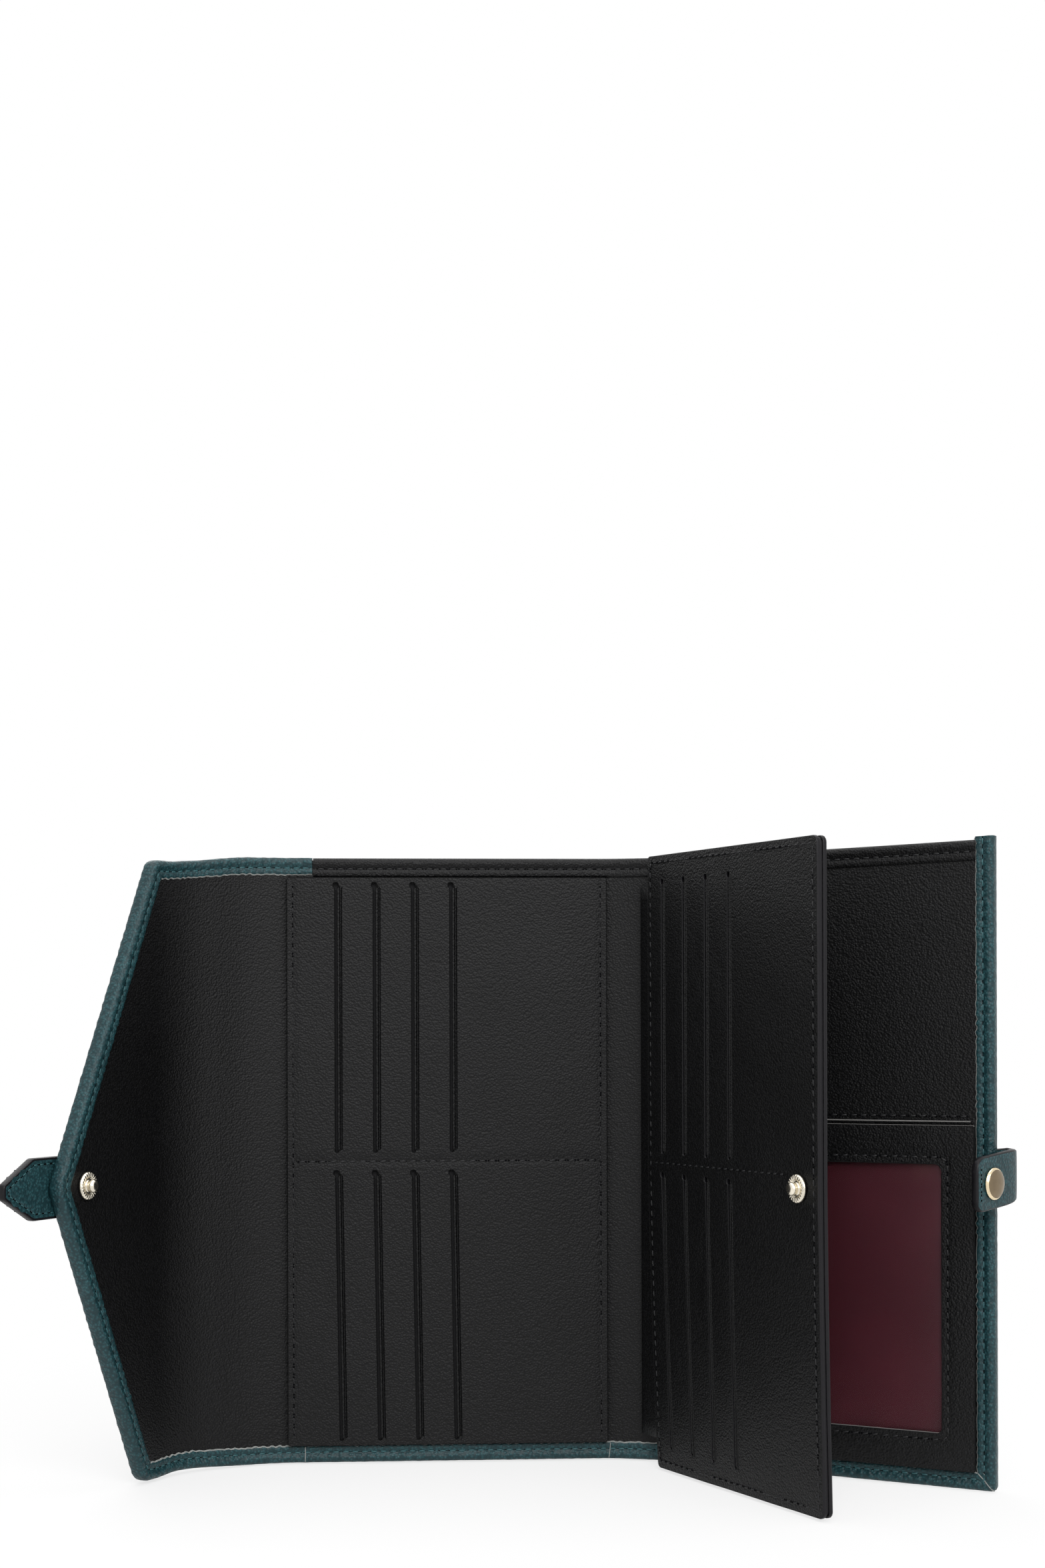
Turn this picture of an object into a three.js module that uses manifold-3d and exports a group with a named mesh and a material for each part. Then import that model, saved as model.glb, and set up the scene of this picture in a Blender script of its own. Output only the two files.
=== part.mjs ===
// Trifold travel wallet, opened and standing on its lower edge.
// Millimetres, +Z up, +X right, the inside faces -Y. The origin is the middle of the
// centre panel's bottom edge. Every panel has its own group: local x runs to the right
// along the panel, local -y is its inner face, and a panel's group sits on its fold line.
import * as THREE from 'three';
import { mergeVertices } from 'three/addons/utils/BufferGeometryUtils.js';
import Module from 'manifold-3d';

const wasm = await Module();
wasm.setup();

// Overall
const HEIGHT = 197;
const CLEARANCE = 0.3;

// Leather layers
const SHELL_T = 1.3;
const LINING_T = 1.0;
const BINDING_T = 0.7;
const BINDING_W = 5.4;
const CLOTH_T = 0.3;
const HEM_H = 5.2;
const HEM_T = 0.7;

// Centre panel
const CENTRE_W = 115.4;
const TOP_BINDING_REACH = 17.2;

// Edge strip and pointed flap
const EDGE_W = 30;
const EDGE_ANGLE = 27.5;
const FLAP_ANGLE = 61.5;
const FLAP_LENGTH = 62.4;
const FLAP_SHOULDER = 19.5;
const FLAP_TOP_DROP = 3.6;
const FLAP_BOTTOM_RISE = 1.8;
const FLAP_CORNER_R = 7;
const FLAP_TIP_R = 7;
const FLAP_STUD_INSET = 14.7;

// Closing tab
const TAB_W = 18.4;
const TAB_T = 2.4;
const TAB_REACH = 20.4;
const TAB_POINT = 13.5;
const TAB_SEWN = 24;
const TAB_CORNER_R = 3.5;
const TAB_NOSE = 3.2;
const TAB_NOSE_R = 1.2;

// Spine strip and cover
const SPINE_W = 21;
const SPINE_ANGLE = 15.7;
const COVER_ANGLE = 31.4;
const COVER_W = 106.3;
const COVER_CORNER_R = 2.5;

// Card slots, the same on the centre panel and the leaf
const SLOT_GAP = 1.1;
const SLOT_END_R = 0.9;
const SLOT_PITCH = 12.45;
const SLOT_COUNT = 4;
const SLOT_ROW_GAP = 6;
const SLOT_MARGIN = 1.8;
const CARD_PANEL_T = 1.3;
const CARD_PANEL_INSET = 8.6;
const CARD_PANEL_FOLD_GAP = 1.8;
const CARD_PANEL_R = 1.2;
const CARD_FIRST_SLOT = 16;

// Leaf
const LEAF_W = 90.3;
const LEAF_T = 3.45;
const LEAF_ANGLE = 63.5;
const LEAF_SIDE_DROP = 0.5;
const LEAF_ROOT = 3.4;
const LEAF_CORNER_R = 2.2;
const LEAF_ROOT_R = 1.2;
const LEAF_TAPER = 3.6;
const LEAF_TAPER_H = 34;
const LEAF_TAPER_R = 8;
const LEAF_FIRST_SLOT = 7.5;
const LEAF_STUD_INSET = 11.6;
const LEAF_AXIS_STANDOFF = 3.6;
const LEAF_BEAD_R = 0.9;
const HINGE_FLANGE_W = 13;
const HINGE_FLANGE_T = 0.8;
const HINGE_END_INSET = 4;

// Window pocket on the cover
const POCKET_TOP = 111;
const WINDOW_TOP = 97;
const WINDOW_BOTTOM = 17;
const WINDOW_SIDE_INSET = 17.5;
const WINDOW_W = 75;
const WINDOW_R = 1.5;
const WINDOW_SEAM = 2.6;
const POCKET_PANEL_T = 1.0;

// Snap strap
const STRAP_W = 16.5;
const STRAP_WAIST = 13.6;
const STRAP_T = 2.2;
const STRAP_SOCKET_GAP = 2.7;
const STRAP_RISE = 6;
const STRAP_LOOP = 5.1;
const STRAP_FRONT = 8.4;
const STRAP_STAND_OFF = 3.1;
const STRAP_END_R = 3.6;

// Press studs and caps, all at one height
const CLOSURE_DROP = 4;
const STUD_D = 8.5;
const STUD_FLANGE_T = 0.9;
const STUD_NUB_D = 4.0;
const STUD_NUB_H = 2.3;
const STUD_SHANK_D = 2.6;
const CAP_D = 9.8;
const CAP_H = 1.9;
const CAP_RIM_T = 0.5;
const BACK_D = 7.6;
const BACK_H = 1.0;
const SOCKET_D = 9.0;
const SOCKET_H = 1.5;
const SOCKET_BORE_D = 4.8;

// Derived layer positions, local y
const SHELL_OUT = SHELL_T;
const LINING_OUT = -CLEARANCE;
const LINING_IN = LINING_OUT - LINING_T;
const BIND_OUT = SHELL_OUT + CLEARANCE + BINDING_T;
const BIND_IN = LINING_IN - CLEARANCE - BINDING_T;
const EDGE_INSET = BINDING_T + CLEARANCE;
const BEAD_R = SHELL_OUT;
const WALL_FOLD_GAP = BEAD_R + CLEARANCE;
const BIND_FOLD_GAP = Math.max(BIND_OUT, -BIND_IN) + CLEARANCE;
const CLOSURE_Z = HEIGHT / 2 - CLOSURE_DROP;
const CARD_Z0 = BINDING_W + CLEARANCE;
const CARD_Z1 = HEIGHT - EDGE_INSET - HEM_H - CLEARANCE;
const SLOT_MID_Z = (CARD_Z0 + CARD_Z1) / 2;
const SLOT_L = (CARD_Z1 - CARD_Z0 - SLOT_ROW_GAP) / 2 - SLOT_MARGIN;
const CARD_PANEL_W = CENTRE_W - CARD_PANEL_INSET - CARD_PANEL_FOLD_GAP;
const SOCKET_X = CENTRE_W - (FLAP_LENGTH - FLAP_STUD_INSET);
const ARC_STEPS = 5;
const ROUND_STEPS = 24;

const colours = {
  teal: 0x1c6a78,
  black: 0x17181a,
  cloth: 0x202124,
  burgundy: 0x5a1a22,
  gold: 0xd0a960,
  film: 0xbfc4c8,
};

function material(colour, roughness, metalness = 0) {
  return new THREE.MeshStandardMaterial({ color: colour, roughness, metalness });
}

const tealLeather = material(colours.teal, 0.62);
const blackLeather = material(colours.black, 0.55);
const blackCloth = material(colours.cloth, 0.9);
const burgundyCloth = material(colours.burgundy, 0.8);
const goldMetal = material(colours.gold, 0.28, 1);
const clearFilm = new THREE.MeshStandardMaterial({
  color: colours.film, roughness: 0.1, transparent: true, opacity: 0.3,
});

// --- outlines -------------------------------------------------------------

// A closed shape through corners [x, z, radius], each corner rounded by an arc.
function roundedShape(corners) {
  const points = [];
  const count = corners.length;
  corners.forEach(([x, z, radius = 0], index) => {
    const corner = new THREE.Vector2(x, z);
    const before = new THREE.Vector2(...corners[(index + count - 1) % count]);
    const after = new THREE.Vector2(...corners[(index + 1) % count]);
    if (radius <= 0) {
      points.push(corner);
      return;
    }
    const a = before.sub(corner).normalize();
    const b = after.sub(corner).normalize();
    const half = Math.acos(THREE.MathUtils.clamp(a.dot(b), -1, 1)) / 2;
    const reach = radius / Math.tan(half);
    const centre = a.clone().add(b).normalize().multiplyScalar(radius / Math.sin(half));
    centre.add(corner);
    const start = a.clone().multiplyScalar(reach).add(corner).sub(centre);
    const end = b.clone().multiplyScalar(reach).add(corner).sub(centre);
    let sweep = end.angle() - start.angle();
    if (sweep > Math.PI) sweep -= 2 * Math.PI;
    if (sweep < -Math.PI) sweep += 2 * Math.PI;
    for (let step = 0; step <= ARC_STEPS; step += 1) {
      const turn = (sweep * step) / ARC_STEPS;
      points.push(start.clone().rotateAround(new THREE.Vector2(), turn).add(centre));
    }
  });
  return new THREE.Shape(points);
}

// Corners moved inward by one distance per edge; edge i runs from corner i to i + 1.
// The corners run counter-clockwise.
function insetCorners(corners, distances) {
  const count = corners.length;
  const lines = corners.map(([x, z], index) => {
    const next = corners[(index + 1) % count];
    const along = new THREE.Vector2(next[0] - x, next[1] - z).normalize();
    const inward = new THREE.Vector2(-along.y, along.x);
    return { point: new THREE.Vector2(x, z).addScaledVector(inward, distances[index]), along };
  });
  return corners.map(([, , radius = 0], index) => {
    const first = lines[(index + count - 1) % count];
    const second = lines[index];
    const cross = first.along.cross(second.along);
    const gap = second.point.clone().sub(first.point);
    const t = gap.cross(second.along) / cross;
    const meet = first.point.clone().addScaledVector(first.along, t);
    const shrink = Math.max(distances[index], distances[(index + count - 1) % count]);
    return [meet.x, meet.y, Math.max(radius - shrink, 0)];
  });
}

function rectangle(x0, x1, z0, z1, radius = 0) {
  return [[x0, z0, radius], [x1, z0, radius], [x1, z1, radius], [x0, z1, radius]];
}

// --- solids ---------------------------------------------------------------

// A flat sheet with an outline in x and z, from local y0 to y1.
function sheet(shape, y0, y1) {
  const geometry = new THREE.ExtrudeGeometry(shape, {
    depth: y1 - y0, bevelEnabled: false, steps: 1, curveSegments: ARC_STEPS,
  });
  geometry.rotateX(Math.PI / 2);
  geometry.translate(0, y1, 0);
  return geometry;
}

function toSolid(geometry) {
  const bare = geometry.clone();
  bare.deleteAttribute('normal');
  bare.deleteAttribute('uv');
  const merged = mergeVertices(bare, 1e-4);
  return new wasm.Manifold(new wasm.Mesh({
    numProp: 3,
    vertProperties: new Float32Array(merged.attributes.position.array),
    triVerts: new Uint32Array(merged.index.array),
  }));
}

function toGeometry(solid) {
  const mesh = solid.getMesh();
  const geometry = new THREE.BufferGeometry();
  const positions = new Float32Array(mesh.vertProperties);
  geometry.setAttribute('position', new THREE.BufferAttribute(positions, 3));
  geometry.setIndex(new THREE.BufferAttribute(new Uint32Array(mesh.triVerts), 1));
  geometry.computeVertexNormals();
  return geometry;
}

function cut(geometry, tools) {
  let solid = toSolid(geometry);
  tools.forEach((tool) => {
    solid = solid.subtract(toSolid(tool));
  });
  return toGeometry(solid);
}

function join(geometries) {
  let solid = toSolid(geometries[0]);
  geometries.slice(1).forEach((geometry) => {
    solid = solid.add(toSolid(geometry));
  });
  return toGeometry(solid);
}

// A round turned about local y: profile points [radius, y].
function turned(profile, x, z, segments = ROUND_STEPS) {
  const points = profile.map(([radius, y]) => new THREE.Vector2(radius, y));
  const geometry = new THREE.LatheGeometry(points, segments);
  geometry.translate(x, 0, z);
  return geometry;
}

function drill(x, z, diameter, y0, y1, segments = 16) {
  const radius = diameter / 2;
  return turned([[0, y0], [radius, y0], [radius, y1], [0, y1]], x, z, segments);
}

// The rolled fold line of a panel: a round bead along z at local x.
function foldBead(x, radius, z0, z1) {
  const geometry = new THREE.CylinderGeometry(radius, radius, z1 - z0, 12);
  geometry.rotateX(Math.PI / 2);
  geometry.translate(x, 0, (z0 + z1) / 2);
  return geometry;
}

// Binding tape folded over an edge: a band along the edges whose distance is over 0.
// Open edges are where the panel goes on, so the band stops square there.
function binding(corners, bound, ends) {
  const slotDepth = bound.map((isBound) => (isBound ? EDGE_INSET : -ends));
  const bandWidth = bound.map((isBound) => (isBound ? BINDING_W : -ends));
  const outer = sheet(roundedShape(corners), BIND_IN, BIND_OUT);
  const slot = sheet(
    roundedShape(insetCorners(corners, slotDepth)),
    BIND_IN + BINDING_T,
    BIND_OUT - BINDING_T,
  );
  const middle = sheet(roundedShape(insetCorners(corners, bandWidth)), BIND_IN - 1, BIND_OUT + 1);
  return cut(outer, [slot, middle]);
}

function named(name, geometry, surface) {
  const mesh = new THREE.Mesh(geometry, surface);
  mesh.name = name;
  return mesh;
}

// --- press studs ----------------------------------------------------------

// Male half: flange, waisted nub towards -y, shank through the leather towards +y.
function maleStud(x, z, seatY, shankEndY) {
  const rim = STUD_D / 2;
  const nub = STUD_NUB_D / 2;
  const shank = STUD_SHANK_D / 2;
  const face = seatY - STUD_FLANGE_T;
  const top = face - STUD_NUB_H;
  return turned([
    [0, top], [nub * 0.72, top], [nub, top + 0.45], [nub, top + 1.1],
    [nub * 0.8, top + 1.6], [nub * 0.8, face + 0.25], [rim - 1.3, face + 0.35],
    [rim - 0.9, face], [rim - 0.25, face], [rim, face + 0.3], [rim, seatY],
    [shank, seatY], [shank, shankEndY], [0, shankEndY],
  ], x, z);
}

// Domed cap or rivet back with a blind seat for the shank; dome towards side * y.
function domedCap(x, z, seatY, side, diameter, height) {
  const radius = diameter / 2;
  const seat = STUD_SHANK_D / 2 + CLEARANCE;
  const depth = CAP_RIM_T;
  const profile = [[0, depth], [seat, depth], [seat, 0], [radius, 0], [radius, CAP_RIM_T]];
  const dome = 5;
  for (let step = 1; step <= dome; step += 1) {
    const turn = (Math.PI / 2) * (step / dome);
    profile.push([
      step === dome ? 0 : radius * Math.cos(turn),
      CAP_RIM_T + (height - CAP_RIM_T) * Math.sin(turn),
    ]);
  }
  const placed = profile.map(([r, y]) => [r, seatY + side * y]);
  return turned(side > 0 ? placed : placed.reverse(), x, z);
}

// Female half: a ring with a bore, seated on seatY and standing towards side * y.
function socketRing(x, z, seatY, side) {
  const outer = SOCKET_D / 2;
  const bore = SOCKET_BORE_D / 2;
  const profile = [
    [bore, 0], [outer, 0], [outer, 0.6], [outer - 0.8, SOCKET_H], [bore + 0.4, SOCKET_H],
    [bore, SOCKET_H - 0.4], [bore, 0],
  ];
  const placed = profile.map(([r, y]) => [r, seatY + side * y]);
  return turned(side > 0 ? placed : placed.reverse(), x, z);
}

// --- shared panel parts ---------------------------------------------------

function wallSheet(x0, x1, y0, y1, topInset = EDGE_INSET) {
  return sheet(roundedShape(rectangle(x0, x1, EDGE_INSET, HEIGHT - topInset)), y0, y1);
}

// Lining whose top edge is turned over and stitched down from hem0 to hem1. The hem stops
// short of a fold, so that two hems clear each other when the fold closes.
function hemmedLining(x0, x1, hem0, hem1) {
  const body = wallSheet(x0, x1, LINING_IN, LINING_OUT);
  const top = HEIGHT - EDGE_INSET;
  const hem = sheet(
    roundedShape(rectangle(hem0, hem1, top - HEM_H, top)),
    LINING_IN - HEM_T,
    LINING_IN + 0.1,
  );
  return join([body, hem]);
}

// Straight binding along the bottom or the top edge between x0 and x1.
function straightBinding(x0, x1, atTop) {
  const corners = rectangle(x0, x1, 0, HEIGHT);
  const bound = atTop ? [false, false, true, false] : [true, false, false, false];
  return binding(corners, bound, 1);
}

// A card slot: a long cut with a punched round at each end.
function slotCut(x, z0, z1, y0, y1) {
  const half = SLOT_GAP / 2;
  const slit = sheet(roundedShape(rectangle(x - half, x + half, z0, z1)), y0, y1);
  const punches = [z0, z1].map((z) => drill(x, z, 2 * SLOT_END_R, y0, y1, 8));
  return join([slit, ...punches]);
}

function slotCuts(firstX, y0, y1) {
  const cuts = [];
  for (let index = 0; index < SLOT_COUNT; index += 1) {
    const x = firstX + index * SLOT_PITCH;
    const low = SLOT_MID_Z - SLOT_ROW_GAP / 2;
    const high = SLOT_MID_Z + SLOT_ROW_GAP / 2;
    cuts.push(slotCut(x, low - SLOT_L, low, y0, y1));
    cuts.push(slotCut(x, high, high + SLOT_L, y0, y1));
  }
  return cuts;
}

// --- centre panel ---------------------------------------------------------

function centrePanel() {
  const group = new THREE.Group();
  const left = -CENTRE_W / 2;
  const right = CENTRE_W / 2;
  const wall0 = left + WALL_FOLD_GAP;
  const wall1 = right - WALL_FOLD_GAP;
  const bind0 = left + BIND_FOLD_GAP;
  const bind1 = right - BIND_FOLD_GAP;
  const cardX = left + CARD_PANEL_INSET;
  const clothIn = LINING_IN - CLEARANCE - CLOTH_T;
  const cardIn = clothIn - CLEARANCE - CARD_PANEL_T;
  const hemStart = left + TOP_BINDING_REACH + CLEARANCE;

  group.add(named('centre_shell', wallSheet(wall0, wall1, 0, SHELL_OUT), tealLeather));
  const plainLining = wallSheet(wall0, hemStart, LINING_IN, LINING_OUT);
  group.add(named('centre_lining', join([
    plainLining, hemmedLining(hemStart - 0.1, wall1, hemStart, bind1),
  ]), blackLeather));
  group.add(named('centre_bottom_binding', straightBinding(bind0, bind1, false), tealLeather));
  group.add(named('centre_top_binding', straightBinding(
    bind0, left + TOP_BINDING_REACH, true,
  ), tealLeather));

  const cloth = roundedShape(rectangle(
    cardX + 1, cardX + CARD_PANEL_W - 1, CARD_Z0 + 1, CARD_Z1 - 1, CARD_PANEL_R,
  ));
  group.add(named('card_pocket_cloth', sheet(cloth, clothIn, clothIn + CLOTH_T), blackCloth));
  const panel = roundedShape(rectangle(
    cardX, cardX + CARD_PANEL_W, CARD_Z0, CARD_Z1, CARD_PANEL_R,
  ));
  group.add(named('card_panel', cut(
    sheet(panel, cardIn, cardIn + CARD_PANEL_T),
    slotCuts(cardX + CARD_FIRST_SLOT, cardIn - 1, cardIn + CARD_PANEL_T + 1),
  ), blackLeather));
  return group;
}

// --- edge strip and flap --------------------------------------------------

function edgeStrip() {
  const group = new THREE.Group();
  const x0 = -EDGE_W;
  const beadZ = [EDGE_INSET, HEIGHT - EDGE_INSET];
  group.add(named('edge_shell', join([
    wallSheet(x0, 0, 0, SHELL_OUT),
    foldBead(x0, BEAD_R, ...beadZ),
    foldBead(0, BEAD_R, ...beadZ),
  ]), tealLeather));
  group.add(named('edge_lining', wallSheet(
    x0 + WALL_FOLD_GAP, -WALL_FOLD_GAP, LINING_IN, LINING_OUT,
  ), blackLeather));
  const bind = [x0 + BIND_FOLD_GAP, -BIND_FOLD_GAP];
  group.add(named('edge_top_binding', straightBinding(...bind, true), tealLeather));
  group.add(named('edge_bottom_binding', straightBinding(...bind, false), tealLeather));
  return group;
}

function flapCorners(rightX) {
  const top = HEIGHT - FLAP_TOP_DROP;
  const share = (FLAP_SHOULDER + rightX) / FLAP_SHOULDER;
  return [
    [-FLAP_SHOULDER, FLAP_BOTTOM_RISE, FLAP_CORNER_R],
    [rightX, FLAP_BOTTOM_RISE * (1 - share), 0],
    [rightX, top + FLAP_TOP_DROP * share, 0],
    [-FLAP_SHOULDER, top, FLAP_CORNER_R],
    [-FLAP_LENGTH, CLOSURE_Z, FLAP_TIP_R],
  ];
}

function closingTab() {
  const half = TAB_W / 2;
  const tip = -FLAP_LENGTH - TAB_REACH;
  const shoulder = tip + TAB_POINT;
  const sewn = -FLAP_LENGTH + TAB_SEWN;
  return roundedShape([
    [tip, CLOSURE_Z - TAB_NOSE / 2, TAB_NOSE_R],
    [shoulder, CLOSURE_Z - half, TAB_CORNER_R],
    [sewn, CLOSURE_Z - half, TAB_CORNER_R],
    [sewn, CLOSURE_Z + half, TAB_CORNER_R],
    [shoulder, CLOSURE_Z + half, TAB_CORNER_R],
    [tip, CLOSURE_Z + TAB_NOSE / 2, TAB_NOSE_R],
  ]);
}

function flap() {
  const group = new THREE.Group();
  const studX = -FLAP_LENGTH + FLAP_STUD_INSET;
  const hole = STUD_SHANK_D + 2 * CLEARANCE;
  const wall = insetCorners(
    flapCorners(-WALL_FOLD_GAP),
    [EDGE_INSET, 0, EDGE_INSET, EDGE_INSET, EDGE_INSET],
  );
  const holes = () => [drill(studX, CLOSURE_Z, hole, BIND_IN - 5, BIND_OUT + 5)];
  group.add(named('flap_shell', cut(
    sheet(roundedShape(wall), 0, SHELL_OUT), holes(),
  ), tealLeather));
  group.add(named('flap_lining', cut(
    sheet(roundedShape(wall), LINING_IN, LINING_OUT), holes(),
  ), blackLeather));
  group.add(named('flap_binding', binding(
    flapCorners(-BIND_FOLD_GAP), [true, false, true, true, true], 1,
  ), tealLeather));
  const tabY0 = BIND_OUT + CLEARANCE;
  const tabY1 = tabY0 + TAB_T;
  group.add(named('closing_tab', cut(
    sheet(closingTab(), tabY0, tabY1), holes(),
  ), tealLeather));
  group.add(named('flap_stud', maleStud(
    studX, CLOSURE_Z, LINING_IN - CLEARANCE, tabY1 + CLEARANCE + CAP_RIM_T - 0.2,
  ), goldMetal));
  group.add(named('flap_stud_cap', domedCap(
    studX, CLOSURE_Z, tabY1 + CLEARANCE, 1, CAP_D, CAP_H,
  ), goldMetal));
  return group;
}

// --- spine, leaf and cover ------------------------------------------------

function spineStrip() {
  const group = new THREE.Group();
  const beadZ = [EDGE_INSET, HEIGHT - EDGE_INSET];
  group.add(named('spine_shell', join([
    wallSheet(0, SPINE_W, 0, SHELL_OUT),
    foldBead(0, BEAD_R, ...beadZ),
    foldBead(SPINE_W, BEAD_R, ...beadZ),
  ]), tealLeather));
  group.add(named('spine_lining', hemmedLining(
    WALL_FOLD_GAP, SPINE_W - WALL_FOLD_GAP, BIND_FOLD_GAP, SPINE_W - BIND_FOLD_GAP,
  ), blackLeather));
  group.add(named('spine_bottom_binding', straightBinding(
    BIND_FOLD_GAP, SPINE_W - BIND_FOLD_GAP, false,
  ), tealLeather));
  group.add(named('leaf_hinge_strip', hingeStrip(), blackLeather));
  return group;
}

// Leather strip sewn to the spine; its rolled edge is the leaf's fold.
function hingeStrip() {
  const mid = SPINE_W / 2;
  const z0 = BINDING_W + HINGE_END_INSET;
  const z1 = HEIGHT - EDGE_INSET - HEM_H - HINGE_END_INSET;
  const flangeY1 = LINING_IN - CLEARANCE;
  const flangeY0 = flangeY1 - HINGE_FLANGE_T;
  const flange = sheet(roundedShape(rectangle(
    mid - HINGE_FLANGE_W / 2, mid + HINGE_FLANGE_W / 2, z0, z1, 1,
  )), flangeY0, flangeY1);
  const web = sheet(roundedShape(rectangle(
    mid - HINGE_FLANGE_T / 2, mid + HINGE_FLANGE_T / 2, z0, z1,
  )), leafAxisY(), flangeY0 + 0.1);
  const bead = foldBead(mid, LEAF_BEAD_R, z0, z1);
  bead.translate(0, leafAxisY(), 0);
  return join([flange, web, bead]);
}

function leafAxisY() {
  return LINING_IN - CLEARANCE - HINGE_FLANGE_T - LEAF_AXIS_STANDOFF + LEAF_BEAD_R;
}

function leafOutline() {
  const bottom = LEAF_SIDE_DROP;
  const top = HEIGHT - LEAF_SIDE_DROP;
  const end = LEAF_ROOT + LEAF_W;
  return [
    [LEAF_ROOT + LEAF_TAPER, bottom, LEAF_ROOT_R],
    [end, bottom, LEAF_CORNER_R],
    [end, top, LEAF_CORNER_R],
    [LEAF_ROOT, top, LEAF_ROOT_R],
    [LEAF_ROOT, bottom + LEAF_TAPER_H, LEAF_TAPER_R],
  ];
}

function leaf() {
  const group = new THREE.Group();
  const half = LEAF_T / 2;
  const clothHalf = CLOTH_T / 2;
  const innerGap = clothHalf + CLEARANCE;
  const studX = LEAF_ROOT + LEAF_W - LEAF_STUD_INSET;
  const hole = STUD_SHANK_D + 2 * CLEARANCE;
  const holes = () => [drill(studX, CLOSURE_Z, hole, -LEAF_T, LEAF_T)];
  group.add(named('leaf_front_panel', cut(
    sheet(roundedShape(leafOutline()), -half, -innerGap),
    [...slotCuts(LEAF_ROOT + LEAF_FIRST_SLOT, -LEAF_T, 0), ...holes()],
  ), blackLeather));
  group.add(named('leaf_back_panel', cut(
    sheet(roundedShape(leafOutline()), innerGap, half), holes(),
  ), blackLeather));
  const clothRoot = LEAF_BEAD_R + CLEARANCE;
  const clothCorners = rectangle(
    clothRoot, LEAF_ROOT + LEAF_W - 1, BINDING_W + HINGE_END_INSET,
    HEIGHT - EDGE_INSET - HEM_H - HINGE_END_INSET,
  );
  group.add(named('leaf_hinge_cloth', cut(
    sheet(roundedShape(clothCorners), -clothHalf, clothHalf), holes(),
  ), blackCloth));
  group.add(named('leaf_stud', maleStud(
    studX, CLOSURE_Z, -half - CLEARANCE, half + CLEARANCE + CAP_RIM_T - 0.2,
  ), goldMetal));
  group.add(named('leaf_stud_back', domedCap(
    studX, CLOSURE_Z, half + CLEARANCE, 1, BACK_D, BACK_H,
  ), goldMetal));
  return group;
}

function coverCorners(leftX) {
  return [
    [leftX, 0, 0],
    [COVER_W, 0, COVER_CORNER_R],
    [COVER_W, HEIGHT, COVER_CORNER_R],
    [leftX, HEIGHT, 0],
  ];
}

// Plan line of the strap: sewn flat outside, round the cover's edge, then in front.
function strapPath() {
  const half = STRAP_T / 2;
  const sewnY = SHELL_OUT + CLEARANCE + half;
  const overY = BIND_OUT + CLEARANCE + half;
  const bindX = COVER_W - BINDING_W;
  const loopX = COVER_W + STRAP_LOOP;
  const frontY = BIND_IN - STRAP_STAND_OFF - half;
  const sewnX = SOCKET_X + SOCKET_D / 2 + STRAP_SOCKET_GAP;
  const riseX = bindX - STRAP_RISE;
  return new THREE.CatmullRomCurve3([
    new THREE.Vector3(sewnX, sewnY, 0),
    new THREE.Vector3((sewnX + riseX) / 2, sewnY, 0),
    new THREE.Vector3(riseX, sewnY, 0),
    new THREE.Vector3(bindX - 2, (sewnY + overY) / 2 + 0.25, 0),
    new THREE.Vector3(COVER_W - 1, overY + 0.9, 0),
    new THREE.Vector3(loopX - 1.2, overY - 0.3, 0),
    new THREE.Vector3(loopX, -0.6, 0),
    new THREE.Vector3(loopX - 1.7, (BIND_IN + frontY) / 2, 0),
    new THREE.Vector3(COVER_W - 1, frontY, 0),
    new THREE.Vector3(COVER_W - STRAP_FRONT, frontY - 0.3, 0),
  ], false, 'centripetal');
}

// A flat strap bent along a plan path; the width narrows at the loop and the
// corners of both ends are round.
function strap() {
  const path = strapPath();
  const length = path.getLength();
  const steps = 44;
  const rings = [];
  for (let step = 0; step <= steps; step += 1) {
    const t = step / steps;
    const point = path.getPointAt(t);
    const along = path.getTangentAt(t);
    const across = new THREE.Vector3(-along.y, along.x, 0);
    const end = Math.min(t, 1 - t) * length;
    const loop = Math.exp(-(((t - 0.64) / 0.12) ** 2));
    let half = (STRAP_W - (STRAP_W - STRAP_WAIST) * loop) / 2;
    if (end < STRAP_END_R) {
      half -= STRAP_END_R - Math.sqrt(STRAP_END_R ** 2 - (STRAP_END_R - end) ** 2);
    }
    rings.push([[-1, -1], [1, -1], [1, 1], [-1, 1]].map(([side, up]) => (
      point.clone().addScaledVector(across, (side * STRAP_T) / 2)
        .setZ(CLOSURE_Z + up * half)
    )));
  }
  const positions = rings.flat().flatMap((corner) => corner.toArray());
  const faces = [];
  for (let step = 0; step < steps; step += 1) {
    for (let side = 0; side < 4; side += 1) {
      const a = step * 4 + side;
      const b = step * 4 + ((side + 1) % 4);
      faces.push(a, b, b + 4, a, b + 4, a + 4);
    }
  }
  const last = steps * 4;
  faces.push(0, 2, 1, 0, 3, 2, last, last + 1, last + 2, last, last + 2, last + 3);
  const geometry = new THREE.BufferGeometry();
  geometry.setAttribute('position', new THREE.Float32BufferAttribute(positions, 3));
  geometry.setIndex(faces);
  geometry.computeVertexNormals();
  return geometry;
}

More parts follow.
